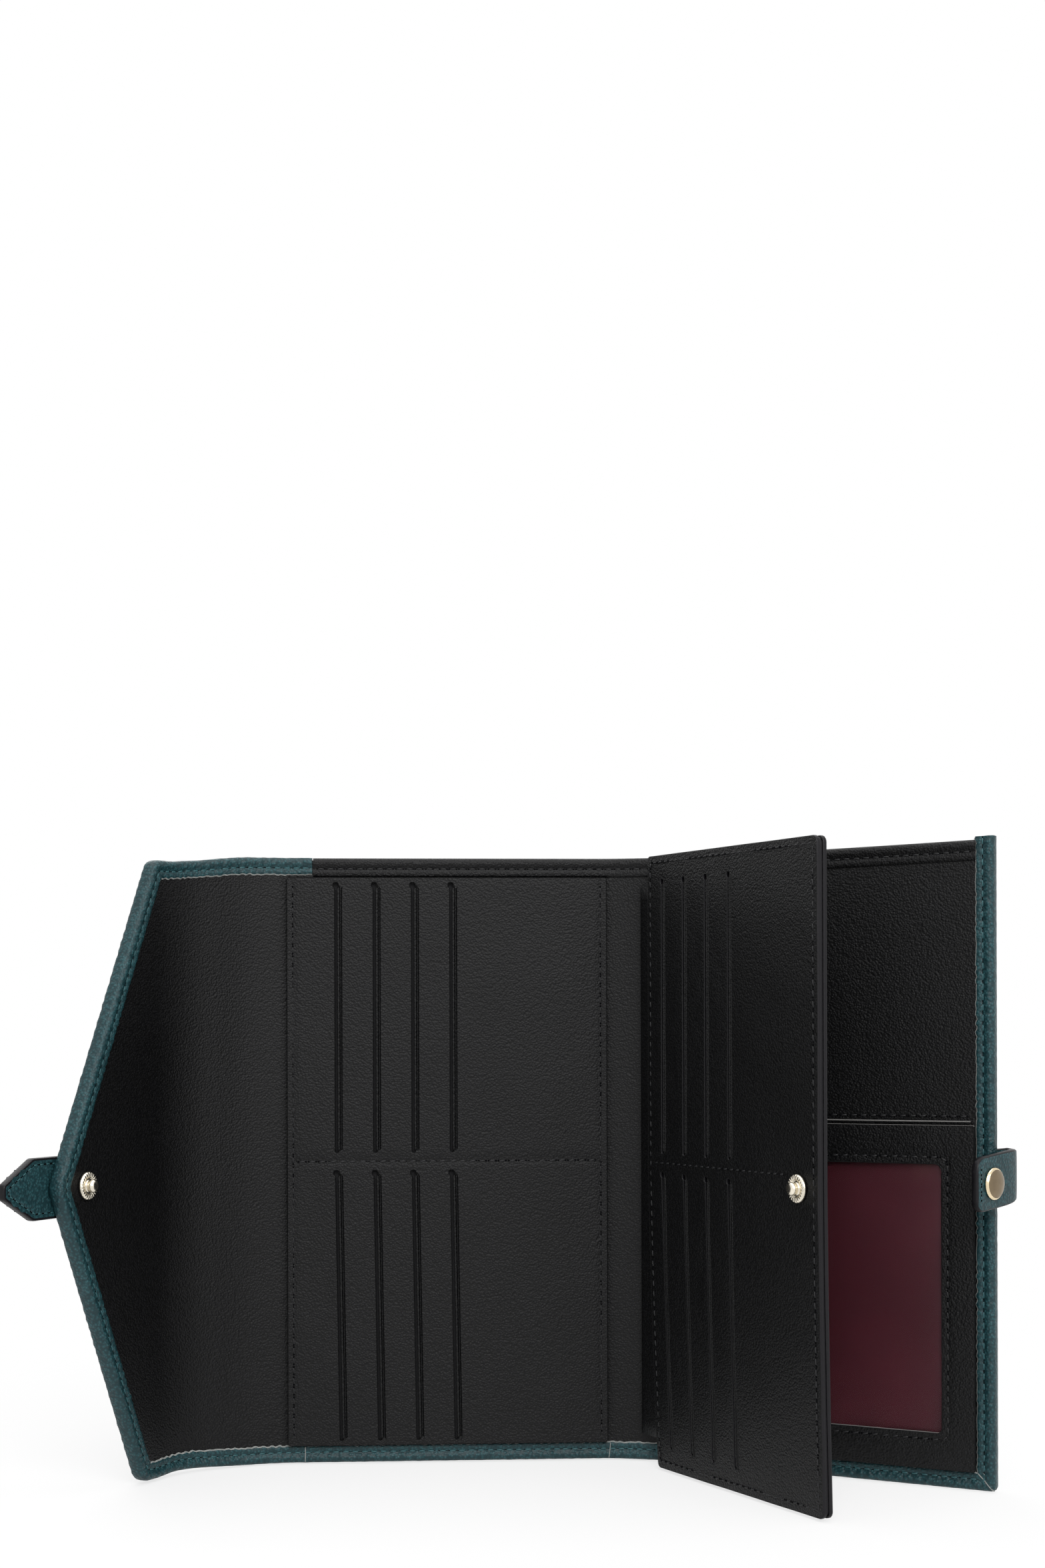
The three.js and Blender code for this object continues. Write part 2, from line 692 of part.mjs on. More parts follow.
function cover() {
  const group = new THREE.Group();
  const wall = insetCorners(
    coverCorners(WALL_FOLD_GAP),
    [EDGE_INSET, EDGE_INSET, EDGE_INSET, 0],
  );
  const hole = STUD_SHANK_D + 2 * CLEARANCE;
  const socketHole = () => [drill(SOCKET_X, CLOSURE_Z, hole, BIND_IN - 4, BIND_OUT + 4)];
  group.add(named('cover_shell', cut(
    sheet(roundedShape(wall), 0, SHELL_OUT), socketHole(),
  ), tealLeather));
  const liningEnd = COVER_W - BINDING_W - CLEARANCE;
  group.add(named('cover_lining', cut(
    hemmedLining(WALL_FOLD_GAP, liningEnd, BIND_FOLD_GAP, liningEnd),
    socketHole(),
  ), blackLeather));
  group.add(named('cover_binding', binding(
    coverCorners(BIND_FOLD_GAP), [true, true, false, false], 1,
  ), tealLeather));

  const backY = LINING_IN - CLEARANCE - CLOTH_T;
  const filmY = backY - CLEARANCE - CLOTH_T;
  const panelY = filmY - CLEARANCE - POCKET_PANEL_T;
  const paneRight = COVER_W - WINDOW_SIDE_INSET;
  const pane = rectangle(paneRight - WINDOW_W, paneRight, WINDOW_BOTTOM, WINDOW_TOP, WINDOW_R);
  const behind = insetCorners(pane, [-WINDOW_SEAM, -WINDOW_SEAM, -WINDOW_SEAM, -WINDOW_SEAM]);
  const panel = rectangle(
    BIND_FOLD_GAP + CLEARANCE, liningEnd, BINDING_W + CLEARANCE, POCKET_TOP,
  );
  group.add(named('window_pocket_panel', cut(
    sheet(roundedShape(panel), panelY, panelY + POCKET_PANEL_T),
    [sheet(roundedShape(pane), panelY - 1, panelY + POCKET_PANEL_T + 1)],
  ), blackLeather));
  group.add(named('window_film', sheet(
    roundedShape(behind), filmY, filmY + CLOTH_T,
  ), clearFilm));
  group.add(named('window_backing', sheet(
    roundedShape(behind), backY, backY + CLOTH_T,
  ), burgundyCloth));

  const frontY = BIND_IN - STRAP_STAND_OFF;
  group.add(named('snap_strap', cut(
    strap(), [drill(COVER_W, CLOSURE_Z, hole, frontY - STRAP_T - 3, frontY + 1.6)],
  ), tealLeather));
  group.add(named('strap_cap', domedCap(
    COVER_W, CLOSURE_Z, frontY - STRAP_T - CLEARANCE - 0.5, -1, CAP_D, CAP_H,
  ), goldMetal));
  group.add(named('cover_socket', socketRing(
    SOCKET_X, CLOSURE_Z, SHELL_OUT + CLEARANCE, 1,
  ), goldMetal));
  return group;
}

// --- assembly -------------------------------------------------------------

function place(child, parent, x, y, degrees) {
  child.position.set(x, y, 0);
  child.rotation.z = THREE.MathUtils.degToRad(degrees);
  parent.add(child);
  return child;
}

const wallet = new THREE.Group();
const centre = place(centrePanel(), wallet, 0, 0, 0);
const edge = place(edgeStrip(), centre, -CENTRE_W / 2, 0, EDGE_ANGLE);
place(flap(), edge, -EDGE_W, 0, FLAP_ANGLE - EDGE_ANGLE);
const spine = place(spineStrip(), centre, CENTRE_W / 2, 0, -SPINE_ANGLE);
place(leaf(), spine, SPINE_W / 2, leafAxisY(), SPINE_ANGLE - LEAF_ANGLE);
place(cover(), spine, SPINE_W, 0, SPINE_ANGLE - COVER_ANGLE);

export default wallet;
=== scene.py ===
"""The travel wallet, standing open on its lower edge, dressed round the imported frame."""
import math

import bmesh
import bpy
import numpy as np
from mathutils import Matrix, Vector
from mathutils.geometry import delaunay_2d_cdt


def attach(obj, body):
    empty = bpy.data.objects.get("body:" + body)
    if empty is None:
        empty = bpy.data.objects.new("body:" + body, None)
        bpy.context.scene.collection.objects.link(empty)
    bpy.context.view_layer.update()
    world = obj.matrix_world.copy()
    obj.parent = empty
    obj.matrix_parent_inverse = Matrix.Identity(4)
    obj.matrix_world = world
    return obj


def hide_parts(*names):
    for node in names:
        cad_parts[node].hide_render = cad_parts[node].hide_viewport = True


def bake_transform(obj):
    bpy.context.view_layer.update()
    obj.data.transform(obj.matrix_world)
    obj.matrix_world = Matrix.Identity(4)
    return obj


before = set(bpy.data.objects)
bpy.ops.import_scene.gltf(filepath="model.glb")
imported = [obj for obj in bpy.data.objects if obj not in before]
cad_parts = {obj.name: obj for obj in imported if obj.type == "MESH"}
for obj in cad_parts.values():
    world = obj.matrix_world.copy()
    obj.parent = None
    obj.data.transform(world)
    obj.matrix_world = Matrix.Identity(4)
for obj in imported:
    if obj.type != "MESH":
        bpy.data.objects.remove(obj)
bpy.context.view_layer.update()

MM = 0.001

# ---- Sizes in millimetres. They are the solids', but the leaf, the flap's shoulders and
# the strap's free end follow the photograph more closely
HEIGHT = 197.0
CLOSURE_Z = HEIGHT / 2 - 4.0
CARD_Z0, CARD_Z1 = 5.7, 190.5
SLOT_MID_Z = (CARD_Z0 + CARD_Z1) / 2
CENTRE_HALF = 57.7
EDGE_W = 30.0
SPINE_W = 21.0
COVER_W = 106.3
FLAP_LENGTH = 62.4
EDGE_ANGLE, FLAP_ANGLE = 27.5, 61.5
SPINE_ANGLE, COVER_ANGLE = 15.7, 31.4
LEAF_ANGLE = 64.5
SHELL_OUT = 1.3
LINING_OUT, LINING_IN = -0.3, -1.3
BINDING_W = 5.4
TOP_BINDING_REACH = 17.2
CARD_INSET = 8.6

# Plan line of the wall: s runs from the flap's tip to the cover's edge, and 0 is the
# middle of the centre panel. Each fold turns over a stretch of its own.
S_FLAP = -CENTRE_HALF - EDGE_W
S_EDGE = -CENTRE_HALF
S_SPINE = CENTRE_HALF
S_COVER = CENTRE_HALF + SPINE_W
S_END = S_COVER + COVER_W
S_TIP = S_FLAP - FLAP_LENGTH
CARD_LEFT = S_EDGE + CARD_INSET
FOLD_AT = (S_FLAP, S_EDGE, S_SPINE, S_COVER)
FOLD_REACH = (11.0, 12.0, 5.0, 6.0)
HEADINGS = tuple(math.radians(a) for a in (
    FLAP_ANGLE, EDGE_ANGLE, 0.0, -SPINE_ANGLE, -COVER_ANGLE))


def ahead(point, heading, length):
    """The plan position this far along a heading."""
    return np.asarray(point) + length * np.array([math.cos(heading), math.sin(heading)])


EDGE_FOLD, SPINE_FOLD = (S_EDGE, 0.0), (S_SPINE, 0.0)
FOLD_POINTS = (ahead(EDGE_FOLD, HEADINGS[1], -EDGE_W), np.array(EDGE_FOLD),
               np.array(SPINE_FOLD), ahead(SPINE_FOLD, HEADINGS[3], SPINE_W))


def plan(s):
    """Plan position and heading of the wall's middle at each s."""
    s = np.atleast_1d(np.asarray(s, float))
    x, y, h = np.zeros_like(s), np.zeros_like(s), np.zeros_like(s)
    panel = np.searchsorted(np.array(FOLD_AT), s)
    for i in range(5):
        m = panel == i
        k = i if i < 2 else i - 1
        p, q = FOLD_POINTS[k], FOLD_AT[k]
        x[m] = p[0] + (s[m] - q) * math.cos(HEADINGS[i])
        y[m] = p[1] + (s[m] - q) * math.sin(HEADINGS[i])
        h[m] = HEADINGS[i]
    for k, (q, t) in enumerate(zip(FOLD_AT, FOLD_REACH)):
        m = np.abs(s - q) < t
        if not m.any():
            continue
        h0, turn = HEADINGS[k], HEADINGS[k + 1] - HEADINGS[k]
        radius = t / math.tan(turn / 2)
        start = ahead(FOLD_POINTS[k], h0, -t)
        phi = turn * (s[m] - q + t) / (2 * t)
        x[m] = start[0] + radius * (np.sin(h0 + phi) - math.sin(h0))
        y[m] = start[1] + radius * (math.cos(h0) - np.cos(h0 + phi))
        h[m] = h0 + phi
    return x, y, h


# How far the soft edges sag, lift and rise, and how far from the flap's fold they do
TOP_SAG, BOTTOM_LIFT, CORNER_RISE = 2.1, 1.0, 1.7
SAG_LEFT, SAG_RIGHT = 12.6, 27.0


def sag(s, z):
    """How far the soft edges leave the straight line, up or down."""
    reach = np.where(s < S_FLAP, SAG_LEFT, SAG_RIGHT)
    near = np.clip(1 - np.abs(s - S_FLAP) / reach, 0, 1)
    near = near * near * (3 - 2 * near)
    corner = np.clip((s - S_COVER) / COVER_W, 0, 1) ** 1.5
    share = np.clip(z / HEIGHT, 0, 1.02)
    return (BOTTOM_LIFT * near * (1 - share) ** 3
            + (CORNER_RISE * corner - TOP_SAG * near) * share ** 3)


def wall_map(s, y, z):
    """Wall coordinates to the row frame: y is the distance outward from the wall's middle."""
    px, py, h = plan(s)
    z = np.asarray(z, float)
    return np.stack([px - np.sin(h) * y, py + np.cos(h) * y, z + sag(np.asarray(s), z)], 1)


LEAF_AXIS_Y = -5.1
LEAF_ROOT = 6.5
LEAF_W = 91.4
LEAF_HALF_T = 3.45 / 2
LEAF_LEAN = 5.5


def flat_map(origin, heading):
    """A map from a flat panel's coordinates to the row frame."""
    c, n = math.cos(heading), math.sin(heading)

    def mapped(s, y, z):
        s, y, z = (np.asarray(v, float) for v in (s, y, z))
        return np.stack([origin[0] + s * c - y * n, origin[1] + s * n + y * c, z], 1)
    return mapped


def spine_point(u, y):
    """Plan position on the spine, u from its fold and y outward."""
    h = HEADINGS[3]
    return (FOLD_POINTS[2][0] + u * math.cos(h) - y * math.sin(h),
            FOLD_POINTS[2][1] + u * math.sin(h) + y * math.cos(h))


LEAF_AXIS = spine_point(SPINE_W / 2, LEAF_AXIS_Y)
leaf_plane = flat_map(LEAF_AXIS, -math.radians(LEAF_ANGLE))


def leaf_map(s, y, z):
    """Leaf coordinates to the row frame; the soft leaf leans outward below its middle."""
    s, z = np.asarray(s, float), np.asarray(z, float)
    below = np.clip((SLOT_MID_Z - z) / SLOT_MID_Z, 0, 1) ** 1.5
    reach = np.clip(s / (LEAF_ROOT + LEAF_W), 0, 1)
    return leaf_plane(s + LEAF_LEAN * below * (1 - 0.6 * reach) * np.clip(s / 6, 0, 1), y, z)


# ---- Materials
class Nodes:
    """A short way to write a node tree."""

    def __init__(self, name):
        self.material = bpy.data.materials.new(name)
        self.material.use_nodes = True
        self.tree = self.material.node_tree
        self.shader = self.tree.nodes["Principled BSDF"]
        self.place = self.tree.nodes.new("ShaderNodeTexCoord")

    def add(self, kind, **values):
        node = self.tree.nodes.new(kind)
        for key, value in values.items():
            if hasattr(node, key):
                setattr(node, key, value)
            else:
                node.inputs[key.replace("_", " ")].default_value = value
        return node

    def set(self, **values):
        """Values on the shader's own sockets."""
        for key, value in values.items():
            self.shader.inputs[key.replace("_", " ")].default_value = value

    def link(self, a, b):
        self.tree.links.new(a, b)

    def noise(self, vector, scale, detail, rough=0.5):
        node = self.add("ShaderNodeTexNoise", Scale=scale, Detail=detail, Roughness=rough)
        self.link(vector, node.inputs["Vector"])
        return node.outputs["Fac"]

    def cells(self, vector, scale):
        node = self.add("ShaderNodeTexVoronoi", feature="SMOOTH_F1", Scale=scale,
                        Smoothness=0.35)
        self.link(vector, node.inputs["Vector"])
        return node.outputs["Distance"]

    def ramp(self, value, stops):
        node = self.add("ShaderNodeValToRGB")
        elements = node.color_ramp.elements
        while len(elements) < len(stops):
            elements.new(0.5)
        for element, (at, colour) in zip(elements, stops):
            element.position = at
            element.color = (*colour, 1)
        self.link(value, node.inputs["Fac"])
        return node.outputs["Color"]

    def math(self, operation, a, b):
        node = self.add("ShaderNodeMath", operation=operation)
        for index, value in enumerate((a, b)):
            if isinstance(value, (int, float)):
                node.inputs[index].default_value = value
            else:
                self.link(value, node.inputs[index])
        return node.outputs["Value"]

    def bump(self, height, strength, distance, before=None):
        node = self.add("ShaderNodeBump", Strength=strength, Distance=distance)
        self.link(height, node.inputs["Height"])
        if before is not None:
            self.link(before, node.inputs["Normal"])
        return node.outputs["Normal"]


def leather(name, dark, mid, light, grain, pebble_height, rough, specular, painted_glints=0.0,
            painted_glint_colour=None):
    """Grained leather, with painted highlight on the pebble tops, painted shade in the creases
    between them and painted glint specks. UV is in millimetres over 1000, so scales are cells
    per metre.
    """
    n = Nodes(name)
    v = n.place.outputs["UV"]
    pebbles = n.cells(v, grain)
    fine = n.noise(v, grain * 3.2, 3.0, 0.6)
    patches = n.noise(v, 38.0, 3.0, 0.55)
    wide = n.noise(v, 11.0, 2.0, 0.5)
    tone = n.math("ADD", n.math("MULTIPLY", pebbles, 0.9), n.math("MULTIPLY", patches, 0.35))
    # The colour follows the pebbles: lighter on their tops as painted highlight and darker in
    # the creases between them as painted shade, with the patches' random tone over it
    colour = n.ramp(tone, [(0.20, light), (0.42, mid), (0.74, dark)])
    # Sparse lighter specks over the grain: painted glints of light on the leather
    if painted_glints:
        spots = n.ramp(n.noise(v, grain * 1.7, 4.0, 0.7),
                       [(0.60, (0, 0, 0)), (0.78, (1, 1, 1))])
        mix = n.add("ShaderNodeMix", data_type="RGBA")
        mix.inputs[7].default_value = (*painted_glint_colour, 1)
        n.link(n.math("MULTIPLY", spots, painted_glints), mix.inputs[0])
        n.link(colour, mix.inputs[6])
        colour = mix.outputs[2]
    n.link(colour, n.shader.inputs["Base Color"])
    roughness = n.math("ADD", rough - 0.12, n.math("MULTIPLY", n.math("ADD", fine, wide), 0.13))
    n.link(roughness, n.shader.inputs["Roughness"])
    n.set(Specular_IOR_Level=specular)
    height = n.math("ADD", n.math("MULTIPLY", pebbles, -1.0), n.math("MULTIPLY", fine, 0.3))
    soft = n.bump(wide, 0.3, 0.002)
    n.link(n.bump(height, 0.9, pebble_height, soft), n.shader.inputs["Normal"])
    return n.material


def plain(name, colour, rough, metallic=0.0, grain=0.0, noise_scale=900.0,
          coords="Object", specular=0.5):
    """An even material with faint cloudy tone and gloss; grain is its bump's height. With a
    large noise_scale the cloud is painted sheen.
    """
    n = Nodes(name)
    fac = n.noise(n.place.outputs[coords], noise_scale, 3.0, 0.6)
    dark = tuple(c * 0.78 for c in colour)
    light = tuple(min(c * 1.18, 1) for c in colour)
    n.link(n.ramp(fac, [(0.3, dark), (0.7, light)]), n.shader.inputs["Base Color"])
    n.link(n.math("ADD", rough - 0.05, n.math("MULTIPLY", fac, 0.1)),
           n.shader.inputs["Roughness"])
    n.set(Metallic=metallic, Specular_IOR_Level=specular)
    if grain:
        n.link(n.bump(fac, 0.5, grain), n.shader.inputs["Normal"])
    return n.material


# Each leather's darker colour carries the painted shade in the creases, its lighter colour the
# painted highlight on the pebble tops, and its glint colour the painted glint specks
TEAL = leather("teal_leather", (0.006, 0.027, 0.032), (0.013, 0.053, 0.061),
               (0.028, 0.092, 0.102), 1150.0, 0.00024, 0.42, specular=0.30, painted_glints=0.12,
               painted_glint_colour=(0.09, 0.19, 0.20))
TEAL_SHELL = leather("teal_shell_leather", (0.007, 0.028, 0.033), (0.013, 0.050, 0.057),
                     (0.026, 0.080, 0.089), 900.0, 0.00022, 0.50, specular=0.40)
BLACK = leather("black_leather", (0.0012, 0.0012, 0.0014), (0.0030, 0.0030, 0.0034),
                (0.0085, 0.0085, 0.0092), 1600.0, 0.00020, 0.46, specular=0.21,
                painted_glints=0.16, painted_glint_colour=(0.030, 0.030, 0.032))
EDGE_PAINT = plain("black_edge_paint", (0.006, 0.0055, 0.007), 0.40, coords="UV",
                   grain=0.0001, specular=0.2)
RAW_EDGE = plain("raw_leather_edge", (0.16, 0.155, 0.15), 0.9, coords="UV", grain=0.0002,
                 noise_scale=1500.0)
TEAL_RAW = plain("raw_binding_edge", (0.25, 0.26, 0.25), 0.9, coords="UV", grain=0.0003,
                 noise_scale=900.0)
THREAD_BLACK = plain("black_thread", (0.009, 0.009, 0.010), 0.55, noise_scale=4000.0,
                     specular=0.35)
THREAD_TEAL = plain("teal_thread", (0.020, 0.085, 0.095), 0.5, noise_scale=4000.0)
# Near-black, dull discs at the stitch holes: painted shade where the holes are
HOLE_SHADE = plain("stitch_hole_shade", (0.002, 0.002, 0.0025), 0.95, noise_scale=3000.0, specular=0.05)
GOLD = plain("gold_plate", (0.82, 0.68, 0.46), 0.20, metallic=1.0, noise_scale=160.0)
PALE_GOLD = plain("worn_stud_plate", (0.80, 0.74, 0.62), 0.24, metallic=1.0,
                  noise_scale=260.0)
POCKET_CLOTH = plain("pocket_cloth", (0.008, 0.008, 0.009), 0.92, grain=0.0002,
                     noise_scale=1600.0)
DARK_GOLD = plain("domed_gold_plate", (0.24, 0.185, 0.12), 0.16, metallic=1.0,
                  noise_scale=160.0)
# The backing's large soft lighter and darker patches are painted sheen standing in for the
# film's reflection
BURGUNDY_SHEENED = plain("burgundy_backing_painted_sheen", (0.080, 0.014, 0.021), 0.42, noise_scale=22.0)


def film_material():
    n = Nodes("clear_film")
    n.set(Base_Color=(0.9, 0.88, 0.9, 1), Roughness=0.12, Transmission_Weight=1.0, IOR=1.28)
    waves = n.noise(n.place.outputs["Object"], 16.0, 1.0)
    n.link(n.bump(waves, 0.5, 0.004), n.shader.inputs["Normal"])
    return n.material


FILM = film_material()


# ---- Mesh tools
def make_object(name, verts, faces, materials, face_material=None, uv=None):
    """A mesh from points in millimetres. uv is one pair per vertex, in millimetres."""
    mesh = bpy.data.meshes.new(name)
    mesh.from_pydata([tuple(v) for v in np.asarray(verts) * MM], [], [tuple(f) for f in faces])
    for material in materials:
        mesh.materials.append(material)
    if face_material is not None:
        mesh.polygons.foreach_set("material_index", np.asarray(face_material, np.int32))
    mesh.polygons.foreach_set("use_smooth", np.ones(len(mesh.polygons), bool))
    if uv is not None:
        layer = mesh.uv_layers.new(name="UVMap")
        index = np.empty(len(mesh.loops), np.int32)
        mesh.loops.foreach_get("vertex_index", index)
        layer.data.foreach_set("uv", (np.asarray(uv)[index] * MM).ravel().astype(np.float32))
    mesh.validate()
    obj = bpy.data.objects.new(name, mesh)
    bpy.context.scene.collection.objects.link(obj)
    return obj


def facing_out(obj, merge=0.0):
    """Turns the faces outward, after merging the points that lie closer than merge."""
    work = bmesh.new()
    work.from_mesh(obj.data)
    if merge:
        bmesh.ops.remove_doubles(work, verts=work.verts, dist=merge)
    bmesh.ops.recalc_face_normals(work, faces=work.faces)
    work.to_mesh(obj.data)
    work.free()
    return obj


def crisp(obj, angle):
    """Shades the edges above this angle as sharp."""
    obj.data.set_sharp_from_angle(angle=math.radians(angle))
    return obj


def rounded(corners, steps=6):
    """Corners [s, z, radius], counter-clockwise, with each corner rounded by an arc."""
    points, count = [], len(corners)
    for i, corner in enumerate(corners):
        c = np.array(corner[:2], float)
        radius = corner[2] if len(corner) > 2 else 0
        if radius <= 0:
            points.append(c)
            continue
        a = np.array(corners[i - 1][:2], float) - c
        b = np.array(corners[(i + 1) % count][:2], float) - c
        a, b = a / np.linalg.norm(a), b / np.linalg.norm(b)
        half = math.acos(max(-1, min(1, float(a @ b)))) / 2
        centre = c + (a + b) / np.linalg.norm(a + b) * radius / math.sin(half)
        start = c + a * radius / math.tan(half) - centre
        end = c + b * radius / math.tan(half) - centre
        t0, t1 = math.atan2(start[1], start[0]), math.atan2(end[1], end[0])
        turn = (t1 - t0 + math.pi) % (2 * math.pi) - math.pi
        for k in range(steps + 1):
            t = t0 + turn * k / steps
            points.append(centre + radius * np.array([math.cos(t), math.sin(t)]))
    return np.array(points)


def box(left, low, right, high, radii, steps=6):
    """A rectangle whose corners have these radii, from its lower left on."""
    return rounded([[left, low, radii[0]], [right, low, radii[1]], [right, high, radii[2]],
                    [left, high, radii[3]]], steps)


def spread(points, step, closed=True):
    """The same line with a point every step or so, and all its corners kept."""
    out = []
    count = len(points)
    for i in range(count if closed else count - 1):
        a, b = points[i], points[(i + 1) % count]
        parts = max(1, int(math.ceil(np.linalg.norm(b - a) / step)))
        out += [a + (b - a) * k / parts for k in range(parts)]
    if not closed:
        out.append(points[-1])
    return np.array(out)


def inside(points, polygon):
    """Which points lie inside a polygon."""
    x, z = points[:, 0], points[:, 1]
    hit = np.zeros(len(points), bool)
    for (x0, z0), (x1, z1) in zip(polygon, np.roll(polygon, -1, 0)):
        if z0 != z1:
            crosses = (z0 > z) != (z1 > z)
            hit ^= crosses & (x < (x1 - x0) * (z - z0) / (z1 - z0) + x0)
    return hit


def distance_to(points, line):
    """Distance from each point to an open line of points."""
    best = np.full(len(points), 1e9)
    for a, b in zip(line[:-1], line[1:]):
        d = b - a
        t = np.clip(((points - a) @ d) / max(d @ d, 1e-9), 0, 1)
        best = np.minimum(best, np.linalg.norm(points - (a + t[:, None] * d), axis=1))
    return best


def straight(*points, step=5.0):
    """An open line through points [s, z]."""
    return spread(np.array(points, float), step, closed=False)


def closed_line(line, step):
    """A closed line written as an open one that ends where it starts."""
    return spread(np.vstack([line, line[:1]]), step, closed=False)


def running(line):
    """Distance along a line at each of its points."""
    return np.concatenate([[0], np.cumsum(np.linalg.norm(np.diff(line, axis=0), axis=1))])


def leftward(line):
    """Unit directions to the left of a line."""
    along = np.gradient(line, axis=0)
    along /= np.linalg.norm(along, axis=1)[:, None]
    return np.stack([-along[:, 1], along[:, 0]], 1)


def tube_faces(rows, columns, first=0):
    """Faces between closed rings of points, and the two ends."""
    faces = []
    for start in range(first, first + (rows - 1) * columns, columns):
        for j in range(columns):
            k = (j + 1) % columns
            faces.append((start + j, start + k, start + columns + k, start + columns + j))
    last = first + (rows - 1) * columns
    return faces + [tuple(range(first, first + columns))[::-1],
                    tuple(range(last, last + columns))]


def ripple(points, size, seed):
    """Smooth hills over the sheet, from -1 to 1."""
    rng = np.random.default_rng(seed)
    total = np.zeros(len(points))
    for _ in range(7):
        angle = rng.uniform(0, math.pi)
        wave = rng.uniform(0.7, 1.5) / size * 2 * math.pi
        phase = rng.uniform(0, 2 * math.pi)
        total += np.sin(wave * (points @ np.array([math.cos(angle), math.sin(angle)])) + phase)
    return total / 4.0


GRID_CLEAR, GROOVE_CLEAR = 1.1, 0.5
# The rim's roll: share of the edge's width, and share of its depth
RIM_ROLL = ((0.30, 0.06), (0.06, 0.35), (0.0, 1.0))


def filled(rims, grooves, grid):
    """Points and triangles between an outline and its holes, with the grooves' lines."""
    points, edges = [], []

    def add_line(line, closed):
        first, count = len(points), len(line)
        points.extend(line.tolist())
        edges.extend((first + i, first + i + 1) for i in range(count - 1))
        if closed:
            edges.append((first + count - 1, first))

    for rim in rims:
        add_line(rim, True)
    for line, half, _ in grooves:
        for shift in (-half, 0.0, half):
            add_line(line + shift * leftward(line), False)
    low, high = rims[0].min(0), rims[0].max(0)
    cloud = np.stack(np.meshgrid(*(np.arange(low[i] + grid / 2, high[i], grid)
                                   for i in range(2))), -1).reshape(-1, 2)

    def in_leather(spots):
        held = inside(spots, rims[0])
        for hole in rims[1:]:
            held &= ~inside(spots, hole)
        return held

    clear = in_leather(cloud)
    for rim in rims:
        clear &= distance_to(cloud, np.vstack([rim, rim[:1]])) > GRID_CLEAR
    for line, half, _ in grooves:
        clear &= distance_to(cloud, line) > half + GROOVE_CLEAR
    points.extend(cloud[clear].tolist())
    made = delaunay_2d_cdt([Vector(p) for p in points], edges, [], 0, 1e-6)
    flat = np.array([tuple(v) for v in made[0]])
    faces = np.array([f for f in made[2] if len(f) == 3])
    faces = faces[in_leather(flat[faces].mean(1))]
    used = np.unique(faces)
    lookup = -np.ones(len(flat), int)
    lookup[used] = np.arange(len(used))
    flat, faces = flat[used], lookup[faces]
    a, b, c = (flat[faces[:, i]] for i in range(3))
    turn = (b - a)[:, 0] * (c - a)[:, 1] - (b - a)[:, 1] * (c - a)[:, 0]
    faces[turn < 0] = faces[turn < 0][:, ::-1]
    return flat, faces[np.abs(turn) > 1e-7]


def make_sheet(name, outline, y0, y1, mapped, materials, how, replaced=(),
               holes=(), grooves=(), grid=5.0, edge=0.28, soften=0.0, seed=1,
               rim_material=0, flush=(), painted_rim=False):
    """A leather sheet with rounded rims.

    outline and holes are closed lines in s and z, y0 the inner face and y1 the outer.
    A groove is (line, half width, depth) pressed into the inner face. flush names the
    seams where the sheet runs on, so its rim isn't rounded there."""
    flat, faces = filled([np.asarray(line, float) for line in (outline, *holes)],
                         grooves, grid)
    count = len(flat)
    inner, outer = np.full(count, float(y0)), np.full(count, float(y1))
    for line, half, depth in grooves:
        inner += depth * np.clip(1 - distance_to(flat, line) / half, 0, 1)
    if soften:
        wave = soften * ripple(flat, 26.0, seed)
        inner, outer = inner + wave, outer + wave

    pairs = dict.fromkeys((int(f[i]), int(f[(i + 1) % 3])) for f in faces for i in range(3))
    border = [(p, q) for (p, q) in pairs if (q, p) not in pairs]
    inward = np.zeros((count, 2))
    on_rim = np.zeros(count, bool)
    for p, q in border:
        along = flat[q] - flat[p]
        along = along / max(np.linalg.norm(along), 1e-9)
        side = np.array([-along[1], along[0]])
        inward[p] += side
        inward[q] += side
        on_rim[p] = on_rim[q] = True
    length = np.linalg.norm(inward, axis=1)
    inward[on_rim] /= np.maximum(length[on_rim], 1e-6)[:, None]
    for seam in flush:
        inward[np.abs(flat[:, 0] - seam) < 1e-4] = 0
    edge = min(edge, (y1 - y0) * 0.45)
    top = flat + inward * edge
    rim_ids = np.flatnonzero(on_rim)
    slot_of = -np.ones(count, int)
    slot_of[rim_ids] = np.arange(len(rim_ids))

    layers = [(top, inner), (top, outer)]
    for face, sign, roll in ((inner, 1, RIM_ROLL), (outer, -1, RIM_ROLL[::-1])):
        for share, drop in roll:
            layers.append((flat[rim_ids] + inward[rim_ids] * edge * share,
                           face[rim_ids] + sign * edge * drop))
    s, z = np.concatenate([place for place, _ in layers]).T
    y = np.concatenate([depth for _, depth in layers])
    starts = [2 * count + k * len(rim_ids) for k in range(2 * len(RIM_ROLL))]

    quads, quad_material = [], []
    for p, q in border:
        line_p, line_q = ([v] + [start + slot_of[v] for start in starts] + [count + v]
                          for v in (p, q))
        mat = rim_material
        if callable(mat):
            mat = mat((flat[p] + flat[q]) / 2)
        for k in range(len(line_p) - 1):
            quads.append((line_p[k], line_p[k + 1], line_q[k + 1], line_q[k]))
            on_face = k in (0, len(line_p) - 2) and not painted_rim
            quad_material.append(0 if on_face else mat)
    all_faces = ([tuple(f) for f in faces.tolist()]
                 + [tuple(f[::-1]) for f in (faces + count).tolist()] + quads)
    face_material = [0] * (2 * len(faces)) + quad_material
    uv = np.stack([s, z], 1)
    uv[2 * count:] = np.stack([s + y, z + y], 1)[2 * count:]
    obj = make_object(name, mapped(s, y, z), all_faces, materials, face_material, uv)
    follow(crisp(facing_out(obj), 38), how, replaced)


